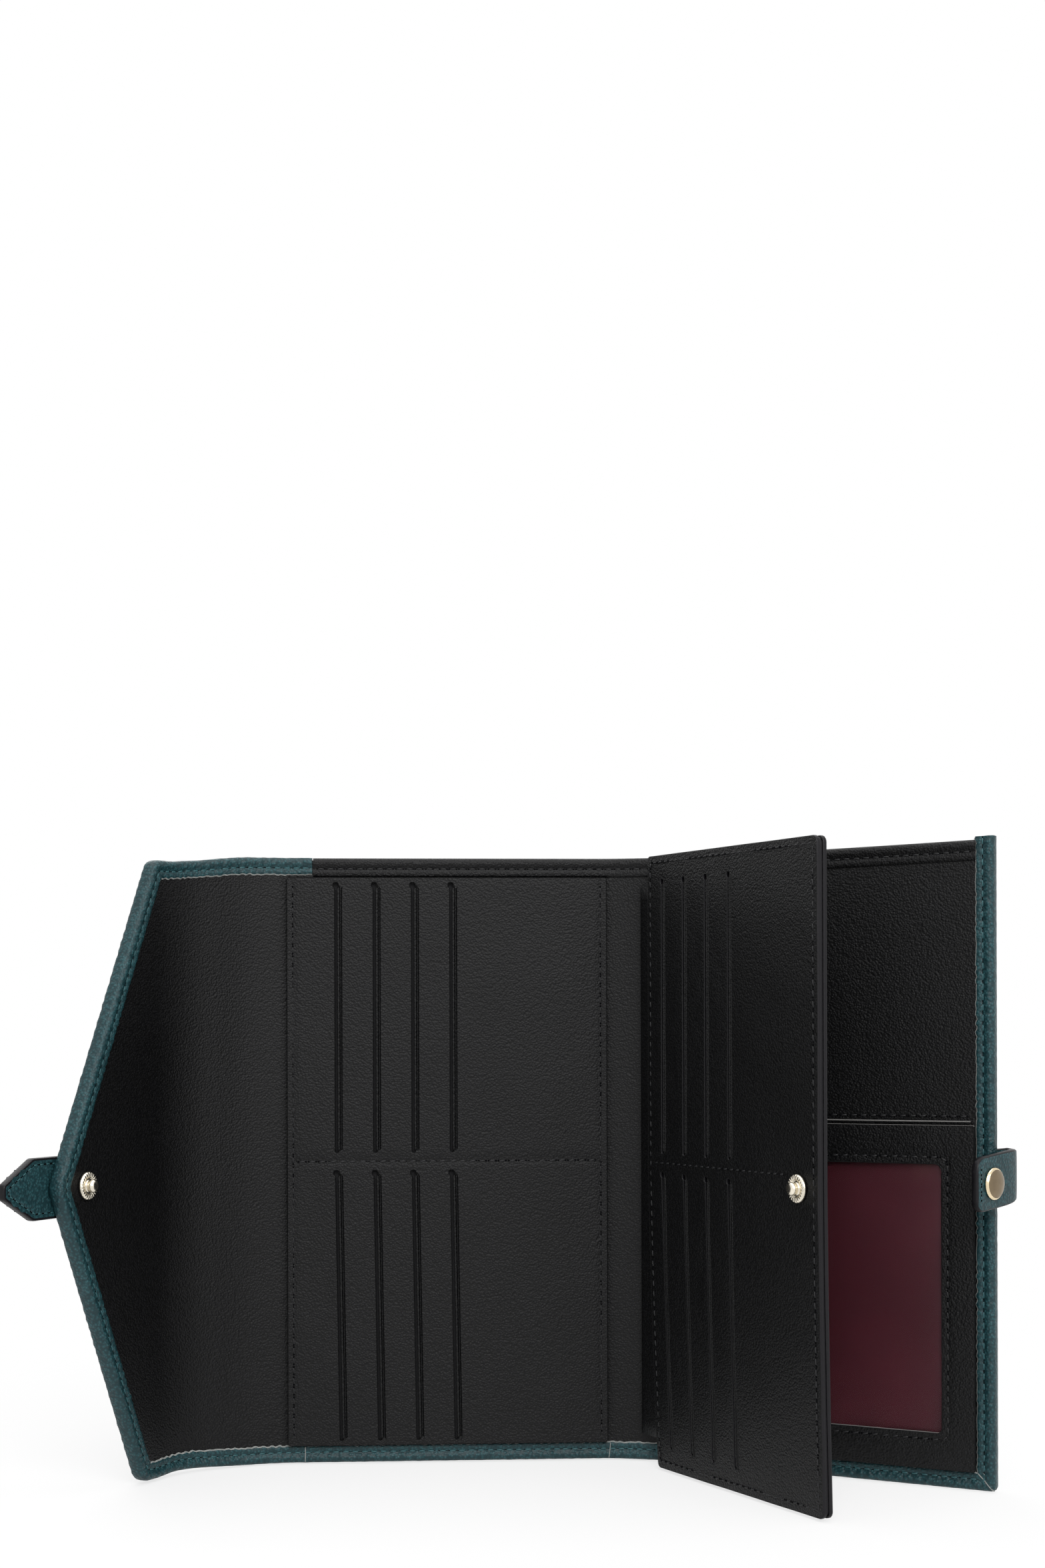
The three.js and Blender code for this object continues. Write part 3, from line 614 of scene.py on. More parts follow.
def sweep(name, path, inward, profile, mapped, materials, how, replaced=(),
          face_material=None, wobble=None):
    """A profile [w, y] carried along a path in s and z; w runs along inward, which is one
    direction or one for each point."""
    inward = np.broadcast_to(inward, path.shape)
    rows, columns = len(path), len(profile)
    w = np.tile(profile[:, 0], (rows, 1))
    y = np.tile(profile[:, 1], (rows, 1))
    if wobble is not None:
        w, y = wobble(path, w, y)
    s = path[:, :1] + inward[:, :1] * w
    z = path[:, 1:] + inward[:, 1:] * w
    mats = (face_material or [0] * columns) * (rows - 1) + [0, 0]
    uv = np.stack([np.repeat(running(path), columns), np.tile(running(profile), rows)], 1)
    obj = make_object(name, mapped(s.ravel(), y.ravel(), z.ravel()),
                      tube_faces(rows, columns), materials, mats, uv)
    follow(crisp(facing_out(obj), 62), how, replaced)


def mitred(path, closed=False):
    """Inward (left) directions along a path, stretched at its corners."""
    if closed:
        before, after = np.roll(path, 1, 0), np.roll(path, -1, 0)
    else:
        before = np.vstack([2 * path[0] - path[1], path[:-1]])
        after = np.vstack([path[1:], 2 * path[-1] - path[-2]])
    d0, d1 = path - before, after - path
    d0 /= np.maximum(np.linalg.norm(d0, axis=1), 1e-9)[:, None]
    d1 /= np.maximum(np.linalg.norm(d1, axis=1), 1e-9)[:, None]
    n0, n1 = (np.stack([-d[:, 1], d[:, 0]], 1) for d in (d0, d1))
    n = n0 + n1
    n /= np.maximum(np.linalg.norm(n, axis=1), 1e-9)[:, None]
    return n / np.maximum((n * n0).sum(1), 0.4)[:, None]


STITCH_HEIGHT, THREAD_SINK = 0.17, 0.10
HOLE_R, HOLE_PAST_END, HOLE_TOP, HOLE_BOTTOM = 0.34, 0.12, 0.03, -0.25
THREADS = {"black": THREAD_BLACK, "teal": THREAD_TEAL}


def sew(name, line, y, outward, mapped, how, slot="black", pitch=3.2, length=2.15,
        radius=0.27, slant=0.0):
    """A row of saddle stitches on a sheet's face: thread over the leather and, at each end, a
    near-black disc of painted shade for its hole. outward is -1 on the inner face and 1 on the
    outer."""
    line = np.asarray(line, float)
    lengths = running(line)
    total = lengths[-1]
    count = max(1, int(total / pitch))
    margin = (total - count * pitch) / 2
    rng = np.random.default_rng(len(name) * 31 + count)
    verts, faces, mats, uvs = [], [], [], []
    rings, sides = 7, 8
    turns = [2 * math.pi * k / sides for k in range(sides)]

    def at(d):
        return np.array([np.interp(d, lengths, line[:, 0]), np.interp(d, lengths, line[:, 1])])

    def add_tube(rows, material):
        faces.extend(tube_faces(rows, sides, len(verts) - rows * sides))
        mats.extend([material] * ((rows - 1) * sides + 2))

    for i in range(count):
        middle = margin + (i + 0.5) * pitch + rng.uniform(-0.12, 0.12)
        a, b = at(middle - length / 2), at(middle + length / 2)
        along = (b - a) / max(np.linalg.norm(b - a), 1e-9)
        side = np.array([-along[1], along[0]])
        tilt = slant + rng.uniform(-0.05, 0.05)
        for r in range(rings):
            t = r / (rings - 1)
            swell = math.sqrt(max(1 - (2 * t - 1) ** 2, 0.0)) ** 0.6
            rise = STITCH_HEIGHT * math.sin(math.pi * t) - THREAD_SINK
            base = a + (b - a) * t + side * tilt * (t - 0.5)
            for k, phi in enumerate(turns):
                across = base + side * radius * swell * math.cos(phi)
                height = y + outward * (rise + radius * swell * math.sin(phi) * 0.8)
                verts.append((across[0], height, across[1]))
                uvs.append((middle + t * length, k * 0.3))
        add_tube(rings, 0)
        # Each hole is a near-black disc of painted shade, standing just proud of the face
        for hole in (a - along * HOLE_PAST_END, b + along * HOLE_PAST_END):
            for level in (HOLE_TOP, HOLE_BOTTOM):
                for phi in turns:
                    spot = hole + HOLE_R * (along * math.cos(phi) + side * math.sin(phi))
                    verts.append((spot[0], y + outward * level, spot[1]))
                    uvs.append((0, 0))
            add_tube(2, 1)
    obj = make_object(name, mapped(*np.array(verts).T), faces, [THREADS[slot], HOLE_SHADE], mats,
                      np.array(uvs))
    follow(facing_out(obj), how)


# ---- How pieces move
BLENDS = {
    "flap": ("edge_strip", "flap", 0, -1),
    "edge": ("centre", "edge_strip", 1, -1),
    "spine": ("centre", "spine", 2, 1),
    "cover": ("spine", "cover", 3, 1),
}


def follow(obj, how, replaced=()):
    """Makes a piece ride on a body, or bakes it in place where how names a fold."""
    if how in BLENDS:
        a, b, k, sign = BLENDS[how]
        reach = FOLD_REACH[k]
        ends = [wall_map([FOLD_AT[k] + sign * side * reach], [0.0], [CLOSURE_Z])[0] * MM
                for side in (-1, 1)]
        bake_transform(obj)
    else:
        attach(obj, how.replace("on_", ""))
    if replaced:
        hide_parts(*replaced)


# Pieces that cross a fold end in the middle of the panels beside it.
MID_EDGE = (S_FLAP + S_EDGE) / 2
MID_SPINE = (S_SPINE + S_COVER) / 2
SEAMS = (MID_EDGE, 0.0, MID_SPINE)
SPANS = {"flap": (S_TIP, MID_EDGE), "edge": (MID_EDGE, 0.0),
         "spine": (0.0, MID_SPINE), "cover": (MID_SPINE, S_END)}

# ---- Outer shell and lining
FLAP_SHOULDER, FLAP_TOP_SHOULDER = 19.5, 12.6
FLAP_TOP_DROP, FLAP_BOTTOM_RISE = 3.0, 0.6
WALL_INSET = 0.9


def flap_outline(right, inset=0.0):
    """The flap's pointed outline from its tip to s = right, moved in by inset."""
    top = HEIGHT - FLAP_TOP_DROP
    corners = [
        [S_FLAP - FLAP_SHOULDER, FLAP_BOTTOM_RISE, 5], [S_FLAP, 0.0, 30], [right, 0.0, 0],
        [right, HEIGHT, 0], [S_FLAP, HEIGHT, 30],
        [S_FLAP - FLAP_TOP_SHOULDER, top, 5], [S_TIP, CLOSURE_Z, 7]]
    line = rounded(corners, 10)
    if inset:
        line = spread(line, 3.0)
        moved = line + mitred(line, True) * inset
        moved[np.abs(line[:, 0] - right) < 1e-6, 0] = right
        line = moved
    return line


def panel_outline(span, inset):
    """Outline of one span of the wall, inside the binding by inset."""
    left, right = SPANS[span]
    if span == "flap":
        return flap_outline(right, inset)
    end = right - inset if span == "cover" else right
    radius = 1.6 if span == "cover" else 0
    return box(left, inset, end, HEIGHT - inset, (0, radius, radius, 0))


def build_walls():
    shells = {"flap": ("flap_shell",), "edge": ("edge_shell",),
              "spine": ("centre_shell", "spine_shell"), "cover": ("cover_shell",)}
    linings = {"flap": ("flap_lining",), "edge": ("edge_lining", "centre_lining"),
               "spine": ("spine_lining",), "cover": ("cover_lining",)}
    for seed, span in enumerate(SPANS):
        outline = spread(panel_outline(span, WALL_INSET), 4.0)
        make_sheet(f"outer_shell_{span}", outline, 0.0, SHELL_OUT, wall_map, [TEAL_SHELL],
                   span, shells[span], grid=4.0, edge=0.2, seed=seed, flush=SEAMS)
        make_sheet(f"lining_{span}", outline, LINING_IN, LINING_OUT, wall_map, [BLACK],
                   span, linings[span], grid=3.4, edge=0.2, seed=seed + 10,
                   flush=SEAMS)


# ---- Binding and hem
BIND_PROFILE = np.array([
    [5.35, -1.42], [5.80, -1.44], [5.42, -1.86], [4.9, -1.98], [4.3, -1.96], [3.75, -1.84],
    [3.45, -1.70], [3.15, -1.86], [2.6, -2.22], [1.9, -2.46], [1.1, -2.44], [0.45, -2.05],
    [0.08, -1.3], [0.0, -0.2], [0.0, 0.8], [0.12, 1.7], [0.6, 2.3], [1.3, 2.52],
    [2.1, 2.44], [2.8, 2.12], [3.3, 1.80], [3.6, 1.72], [4.2, 1.86], [5.0, 1.84],
    [5.4, 1.62], [5.3, 1.38], [1.4, 1.38], [1.1, 1.1], [1.1, -1.1], [1.4, -1.38]])
BIND_FACES = [1, 1] + [0] * 21 + [1, 0, 0, 0, 0, 0, 0]
STITCH_W, STITCH_PITCH = 3.45, 3.1


def binding_wobble(start):
    """Wrinkles of the tape and its ragged raw edge; start is the distance already run."""
    rng = np.random.default_rng(3)
    waves = [(rng.uniform(0.5, 2.2), rng.uniform(0, 6.28), rng.uniform(0.4, 1.0))
             for _ in range(9)]
    raw = [(rng.uniform(0.25, 3.0), rng.uniform(0, 6.28)) for _ in range(10)]

    def wobble(path, w, y):
        d = running(path) + start
        wrinkle = sum(a * np.sin(f * d + p + 0.5 * np.sin(0.31 * f * d))
                      for f, p, a in waves) / 9
        ragged = sum(np.sin(f * d + p) for f, p in raw) / 10
        pucker = np.cos(2 * math.pi * d / STITCH_PITCH) ** 3
        bulge = np.clip(np.abs(y[0]) - 1.55, 0, 1) * (w[0] < 5.0)
        roll = bulge * (w[0] < 3.3)
        y = y + np.sign(y) * (wrinkle[:, None] * 0.42 * roll[None]
                              - pucker[:, None] * 0.16 * bulge[None])
        edge = (w[0] > 5.1).astype(float)
        w = w + ragged[:, None] * 0.62 * edge[None]
        outer = (w[0] < 0.6).astype(float)
        w = w + 0.10 * wrinkle[:, None] * outer[None]
        return w, y
    return wobble


def bind_run(name, line, how, replaced, start):
    """One run of the binding; returns the distance run so far."""
    path = straight(*line, step=0.75)
    inward = mitred(path)
    sweep(name, path, inward, BIND_PROFILE, wall_map, [TEAL, TEAL_RAW], how,
          replaced, BIND_FACES, binding_wobble(start))
    seam = path + inward * STITCH_W
    for face, y, outward in (("in", -1.72, -1), ("out", 1.74, 1)):
        sew(f"{name}_stitches_{face}", seam, y, outward, wall_map, how, "teal",
            pitch=STITCH_PITCH, length=2.2)
    return start + running(path)[-1]


def raw_line(name, corner, direction, how):
    """The raw end of the tape where it laps over itself, across the binding's inner face."""
    reach = np.linspace(0.3, 5.3, 16)
    path = np.array(corner) + reach[:, None] * np.array(direction)
    inner = BIND_PROFILE[2:14][::-1]
    depth = np.interp(reach, inner[:, 0], inner[:, 1])
    profile = np.array([[-0.17, 0.15], [-0.14, -0.16], [0.12, -0.17], [0.17, 0.15]])
    sweep(name, path, mitred(path), profile, wall_map, [TEAL_RAW], how,
          wobble=lambda line, w, y: (w, y + depth[:, None]))


def build_bindings():
    flap = flap_outline(MID_EDGE)
    first = int(np.argmax((np.abs(flap[:, 0] - MID_EDGE) < 1e-6)
                          & (flap[:, 1] > CLOSURE_Z)))
    flap = np.roll(flap, -first, 0)
    run = bind_run("binding_top_left",
                   [(S_EDGE + TOP_BINDING_REACH, HEIGHT), (MID_EDGE, HEIGHT)],
                   "edge", ("edge_top_binding", "centre_top_binding"), 0.0)
    run = bind_run("binding_flap", flap, "flap", ("flap_binding",), run)
    run = bind_run("binding_bottom_left", [(MID_EDGE, 0), (0, 0)], "edge",
                   ("edge_bottom_binding",), run)
    run = bind_run("binding_bottom_right", [(0, 0), (MID_SPINE, 0)], "spine",
                   ("centre_bottom_binding", "spine_bottom_binding"), run)
    bind_run("binding_cover",
             [(MID_SPINE, 0.0), (S_END - 1.2, 0.0), (S_END - 0.35, 0.35), (S_END, 1.2),
              (S_END, HEIGHT + 0.7)], "cover", ("cover_binding",), run)
    raw_line("binding_lap_left", (CARD_LEFT + 5.9, 0.0), (0.0, 1.0), "edge")
    raw_line("binding_lap_middle", (S_SPINE - 1.6, 0.0), (0.12, 1.0), "spine")
    raw_line("binding_mitre", (S_END, 0.0), (-1.0, 1.0), "cover")


HEM_PROFILE = np.array([
    [6.2, -1.32], [6.1, -1.62], [5.5, -1.84], [4.6, -1.88], [3.9, -1.74], [3.5, -1.62],
    [3.1, -1.80], [2.4, -2.12], [1.6, -2.24], [0.8, -2.12], [0.25, -1.7], [0.0, -1.1],
    [0.1, -0.6], [0.5, -0.28], [1.2, -0.2], [1.2, -1.1], [2.0, -1.32]])
HEM_SEAM = 3.5


def hem_run(name, s0, s1, how):
    """One run of the lining's turned top edge, with its seam."""
    path = straight([s1, HEIGHT - 0.2], [s0, HEIGHT - 0.2], step=2.0)
    sweep(name, path, (0.0, -1.0), HEM_PROFILE, wall_map, [BLACK], how)
    sew(f"{name}_stitches", path - np.array([0.0, HEM_SEAM]), -1.66, -1, wall_map, how)


def build_hem():
    hem_run("top_hem_left", S_EDGE + TOP_BINDING_REACH + 0.3, 0.0, "edge")
    hem_run("top_hem_middle", 0.0, MID_SPINE, "spine")
    hem_run("top_hem_right", MID_SPINE, S_END - BINDING_W - 0.2, "cover")


# ---- Card panel, leaf
SLOT_L, SLOT_HALF, SLOT_PITCH, SLOT_ROW_GAP = 87.6, 0.5, 12.45, 6.0
CARD_RIGHT = CARD_LEFT + 105.0
CARD_FIRST = CARD_LEFT + 16.5
CARD_LEAN = 1.3
CARD_OUT, CARD_IN = -2.2, -3.5
SEAM_HALF = 0.7
CARD_SEAM_LEFT, CARD_SEAM_RIGHT = CARD_LEFT + 2.2, CARD_RIGHT - 2.4
CARD_SEAM_LOW, CARD_SEAM_HIGH = 8.0, 189.0
# How far each pressed line lies from its slot, and how deep it is
PRESSED_LINES = ((1.02, 0.30), (1.62, 0.26))
HOOK_W = 0.55
LIP_AT = 0.66
LIP_PROFILE = np.array([[-0.42, 0.25], [-0.45, -0.02], [-0.30, -0.16], [0.0, -0.20],
                        [0.26, -0.12], [0.34, 0.05], [0.34, 0.25]])


def leaned(points, lean):
    """The lower row of slots leans a little to the right at its foot."""
    points = np.array(points, float)
    points[:, 0] += lean * np.clip((SLOT_MID_Z - points[:, 1]) / SLOT_L, 0, 1)
    return points


def slot_places(first):
    """Name, place and both ends of each slot, four columns in two rows."""
    for column in range(4):
        for row in (-1, 1):
            near = SLOT_MID_Z + row * SLOT_ROW_GAP / 2
            far = near + row * SLOT_L
            yield (f"{column + 1}_{'low' if row < 0 else 'up'}",
                   first + column * SLOT_PITCH, min(near, far), max(near, far))


def slot_shapes(first, lean=0.0):
    """Openings, each with a hook at its top, and the pressed lines beside them."""
    openings, presses = [], []
    for _, s, low, high in slot_places(first):
        left, right = s - SLOT_HALF, s + SLOT_HALF
        openings.append(leaned(rounded([
            [left, low, 0.45], [right, low, 0.45], [right, high, 0.45],
            [left - HOOK_W, high, 0.45], [left - HOOK_W, high - 1.2, 0.3],
            [left, high - 1.7, 0.2]], 4), lean))
        for offset, depth in PRESSED_LINES:
            line = straight([s + offset, low + 1.0], [s + offset, high - 1.8], step=6.0)
            presses.append((leaned(line, lean), 0.22, depth))
    return openings, presses


def slot_lips(first, face_y, how, mapped, name, lean=0.0):
    """The turned lip along each slot's right side, standing just proud."""
    for slot, s, low, high in slot_places(first):
        path = leaned(straight([s + LIP_AT, low + 0.8], [s + LIP_AT, high - 1.6]), lean)
        sweep(f"{name}_lip_{slot}", path, (1.0, 0.0), LIP_PROFILE + np.array([0.0, face_y]),
              mapped, [BLACK], how)


def build_card_panel():
    outline = spread(box(CARD_LEFT, CARD_Z0, CARD_RIGHT, CARD_Z1, (1.2, 1.2, 1.0, 1.0)),
                     4.0)
    openings, presses = slot_shapes(CARD_FIRST, CARD_LEAN)
    left, right = CARD_SEAM_LEFT, CARD_SEAM_RIGHT
    seams = {"left": straight([left, CARD_SEAM_LOW], [left, CARD_SEAM_HIGH]),
             "right": straight([right, CARD_SEAM_LOW], [right, CARD_SEAM_HIGH]),
             "middle": straight([left, SLOT_MID_Z], [right, SLOT_MID_Z])}
    grooves = presses + [(line, SEAM_HALF, 0.16) for line in seams.values()]
    make_sheet("card_panel_leather", outline, CARD_IN, CARD_OUT, wall_map, [BLACK, RAW_EDGE],
               "on_centre", ("card_panel",), openings, grooves, grid=3.4,
               soften=0.10, seed=21)
    slot_lips(CARD_FIRST, CARD_IN, "on_centre", wall_map, "card_panel", CARD_LEAN)
    for name, line in seams.items():
        sew(f"card_panel_stitches_{name}", line, CARD_IN + 0.14, -1, wall_map,
            "on_centre", pitch=3.25, slant=0.3)


LEAF_FIRST = LEAF_ROOT + 8.7
LEAF_STUD = LEAF_ROOT + LEAF_W - 9.5
LEAF_BOTTOM, LEAF_TOP = 0.5, 196.5
LEAF_CORE = 0.42
LEAF_SEAM_LEFT, LEAF_SEAM_RIGHT = LEAF_ROOT + 1.8, LEAF_ROOT + LEAF_W - 2.2
LEAF_SEAM_LOW, LEAF_SEAM_HIGH = 3.0, 194.2


def leaf_outline(grow=0.0):
    """The leaf's outline, its three free sides moved out by grow."""
    return spread(box(LEAF_ROOT, LEAF_BOTTOM - grow, LEAF_ROOT + LEAF_W + grow,
                      LEAF_TOP + grow, (1.6, 2.2, 2.2, 1.2), 8), 4.0)


def build_leaf():
    openings, presses = slot_shapes(LEAF_FIRST)
    left, right, low, high = LEAF_SEAM_LEFT, LEAF_SEAM_RIGHT, LEAF_SEAM_LOW, LEAF_SEAM_HIGH
    around = straight([left, low], [right, low], [right, high], [left, high], [left, low])
    middle = straight([left, SLOT_MID_Z], [LEAF_STUD - 5.5, SLOT_MID_Z])
    make_sheet("leaf_front_leather", leaf_outline(), -LEAF_HALF_T, -LEAF_CORE, leaf_map,
               [BLACK, EDGE_PAINT], "on_leaf", ("leaf_front_panel",), openings,
               presses + [(middle, SEAM_HALF, 0.15)], grid=3.6, edge=0.45, soften=0.12,
               seed=31, rim_material=1)
    slot_lips(LEAF_FIRST, -LEAF_HALF_T, "on_leaf", leaf_map, "leaf")
    make_sheet("leaf_back_leather", leaf_outline(), LEAF_CORE, LEAF_HALF_T, leaf_map,
               [BLACK, EDGE_PAINT], "on_leaf", ("leaf_back_panel",), grid=3.6,
               edge=0.45, seed=32, rim_material=1)
    make_sheet("leaf_core_edge", leaf_outline(-0.35), -LEAF_CORE, LEAF_CORE, leaf_map,
               [EDGE_PAINT], "on_leaf", grid=9.0, edge=0.2, seed=33)
    for face, y, out in (("front", -LEAF_HALF_T + 0.02, -1), ("back", LEAF_HALF_T, 1)):
        sew(f"leaf_stitches_{face}", around, y, out, leaf_map, "on_leaf", slant=0.3)
    sew("leaf_stitches_middle", middle, -LEAF_HALF_T + 0.13, -1, leaf_map, "on_leaf",
        pitch=3.25, slant=0.3)
    build_gusset()


GUSSET_HALF_T = 0.38
GUSSET_Z = (9.4, 187.0)
# Its way from the spine to the leaf's axis, and its reaches into the leaf
GUSSET_ON_SPINE = ((7.0, -2.1), (3.0, -2.1), (0.7, -2.7), (-0.2, -3.8))
GUSSET_IN_LEAF = (1.6, 3.4, 6.0, 10.0, 14.0)


def build_gusset():
    """The folded hinge strip from the spine to the leaf's root."""
    mid = SPINE_W / 2
    h = -math.radians(LEAF_ANGLE)
    line = np.array([spine_point(mid + u, y) for u, y in GUSSET_ON_SPINE] + [LEAF_AXIS]
                    + [ahead(LEAF_AXIS, h, length) for length in GUSSET_IN_LEAF])
    lengths = running(line)
    t = np.linspace(0, lengths[-1], 34)
    smooth = np.stack([np.interp(t, lengths, line[:, i]) for i in range(2)], 1)
    for _ in range(3):
        smooth[1:-1] = (smooth[:-2] + 2 * smooth[1:-1] + smooth[2:]) / 4
    side = leftward(smooth)
    zs = np.linspace(*GUSSET_Z, 40)
    verts, uv, faces = [], [], []
    rows, columns = len(smooth), len(zs)
    for sign in (-1, 1):
        for i in range(rows):
            for z in zs:
                p = smooth[i] + side[i] * sign * GUSSET_HALF_T
                verts.append((p[0], p[1], z))
                uv.append((t[i], z))
    layer = rows * columns
    for i in range(rows - 1):
        for j in range(columns - 1):
            a = i * columns + j
            faces.append((a, a + 1, a + columns + 1, a + columns))
            faces.append((layer + a, layer + a + columns, layer + a + columns + 1,
                          layer + a + 1))
    rim = ([i * columns for i in range(rows)]
           + [(rows - 1) * columns + j for j in range(1, columns)]
           + [i * columns + columns - 1 for i in range(rows - 2, -1, -1)]
           + [j for j in range(columns - 2, 0, -1)])
    for a, b in zip(rim, rim[1:] + rim[:1]):
        faces.append((a, b, layer + b, layer + a))
    obj = facing_out(make_object("leaf_gusset", verts, faces, [BLACK], None, np.array(uv)))
    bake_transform(obj)
    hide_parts("leaf_hinge_strip", "leaf_hinge_cloth")


# ---- Cover: window pocket, strap
POCKET_TOP = 111.0
POCKET_IN, POCKET_OUT = -3.8, -2.8
MOUTH_PROFILE = np.array([[0.0, -2.3], [0.04, -3.05], [0.2, -3.2], [0.38, -3.05],
                          [0.42, -2.3]])
PANE_W, PANE_LOW, PANE_HIGH = 75.0, 17.0, 99.0
PANE_RIGHT = S_END - 16.1
SEAM_SIDE, SEAM_BELOW, SEAM_ABOVE = 2.0, 2.1, 2.2


def build_window_pocket():
    right = S_END - BINDING_W - 0.3
    left = S_COVER + 2.9
    outline = spread(box(left, CARD_Z0, right, POCKET_TOP, (0.6, 0.6, 0.5, 0.5)), 4.0)
    pane_left = PANE_RIGHT - PANE_W
    pane = spread(box(pane_left, PANE_LOW, PANE_RIGHT, PANE_HIGH, (1.5, 1.5, 2.2, 1.5)), 5.0)
    seam = closed_line(box(pane_left - SEAM_SIDE, PANE_LOW - SEAM_BELOW,
                           PANE_RIGHT + SEAM_SIDE, PANE_HIGH + SEAM_ABOVE,
                           (1.5, 1.5, 2.5, 1.5)), 5.0)

    def raw(centre):
        """Raw leather shows at the pocket's mouth and under the pane."""
        return int(centre[1] > POCKET_TOP - 0.2 or abs(centre[1] - PANE_LOW) < 0.2)
    make_sheet("window_pocket_leather", outline, POCKET_IN, POCKET_OUT, wall_map,
               [BLACK, RAW_EDGE], "on_cover", ("window_pocket_panel",), [pane],
               [(seam, SEAM_HALF, 0.15)], grid=3.6, soften=0.08, seed=41, rim_material=raw)
    sew("window_stitches", seam, POCKET_IN + 0.12, -1, wall_map, "on_cover", slant=0.3)
    mouth = straight([S_COVER + 4.0, POCKET_TOP + 2.6], [right - 1.0, POCKET_TOP + 2.6])
    sew("pocket_mouth_stitches", mouth, LINING_IN - 0.02, -1, wall_map, "on_cover",
        slant=0.3)
    band = straight([left, POCKET_TOP + 0.9], [right - 1.5, POCKET_TOP + 0.9])
    sweep("pocket_mouth_edge", band, (0.0, 1.0), MOUTH_PROFILE, wall_map, [RAW_EDGE],
          "on_cover")


STRAP_W, STRAP_T = 16.5, 2.2
STRAP_SEWN = 26
STRAP_CORNER_R = 3.6
STRAP_RIM = 0.55
STRAP_WAIST, STRAP_WAIST_AT, STRAP_WAIST_REACH = 1.6, 0.56, 0.10
STRAP_FRONT_AT = np.array([COVER_W + 4.6, -4.6])
STRAP_FRONT_ANGLE = math.radians(17)
STRAP_FRONT_ALONG = (-math.sin(STRAP_FRONT_ANGLE), -math.cos(STRAP_FRONT_ANGLE))
STRAP_FRONT_L = 17.5
STRAP_CAP_AT = 9.0
STRAP_RISE, STRAP_DROOP = 2.4, 2.8
cover_map = flat_map(tuple(FOLD_POINTS[3]), HEADINGS[4])


def strap_line():
    """The strap's middle line in plan round the cover's edge, as a smooth spline."""
    half = STRAP_T / 2
    sewn_y = SHELL_OUT + 0.3 + half
    over_y = 2.3 + 0.3 + half
    bind_s = COVER_W - BINDING_W
    front = [STRAP_FRONT_AT + np.array(STRAP_FRONT_ALONG) * d
             for d in (0.0, STRAP_FRONT_L / 2, STRAP_FRONT_L)]
    knots = np.array([
        [bind_s - STRAP_SEWN, sewn_y], [bind_s - 13, sewn_y], [bind_s - 6, sewn_y],
        [bind_s - 2, (sewn_y + over_y) / 2 + 0.25], [COVER_W - 1, over_y + 0.9],
        [COVER_W + 3.6, over_y - 0.1], [COVER_W + 5.1, -0.8], *front])
    times = np.concatenate([[0], np.cumsum(
        np.linalg.norm(np.diff(knots, axis=0), axis=1) ** 0.5)])
    times = np.concatenate([[-0.5], times, [times[-1] + 0.5]])
    knots = np.vstack([knots[:1], knots, knots[-1:]])
    out = []
    for k in range(len(knots) - 3):
        p, t = knots[k:k + 4], times[k:k + 4]
        steps = np.linspace(t[1], t[2], 14)
        for u in steps if k == len(knots) - 4 else steps[:-1]:
            def between(a, b, i, j):
                return (t[j] - u) / (t[j] - t[i]) * a + (u - t[i]) / (t[j] - t[i]) * b
            a1, a2, a3 = (between(p[i], p[i + 1], i, i + 1) for i in range(3))
            out.append(between(between(a1, a2, 0, 2), between(a2, a3, 1, 3), 1, 2))
    return np.array(out)


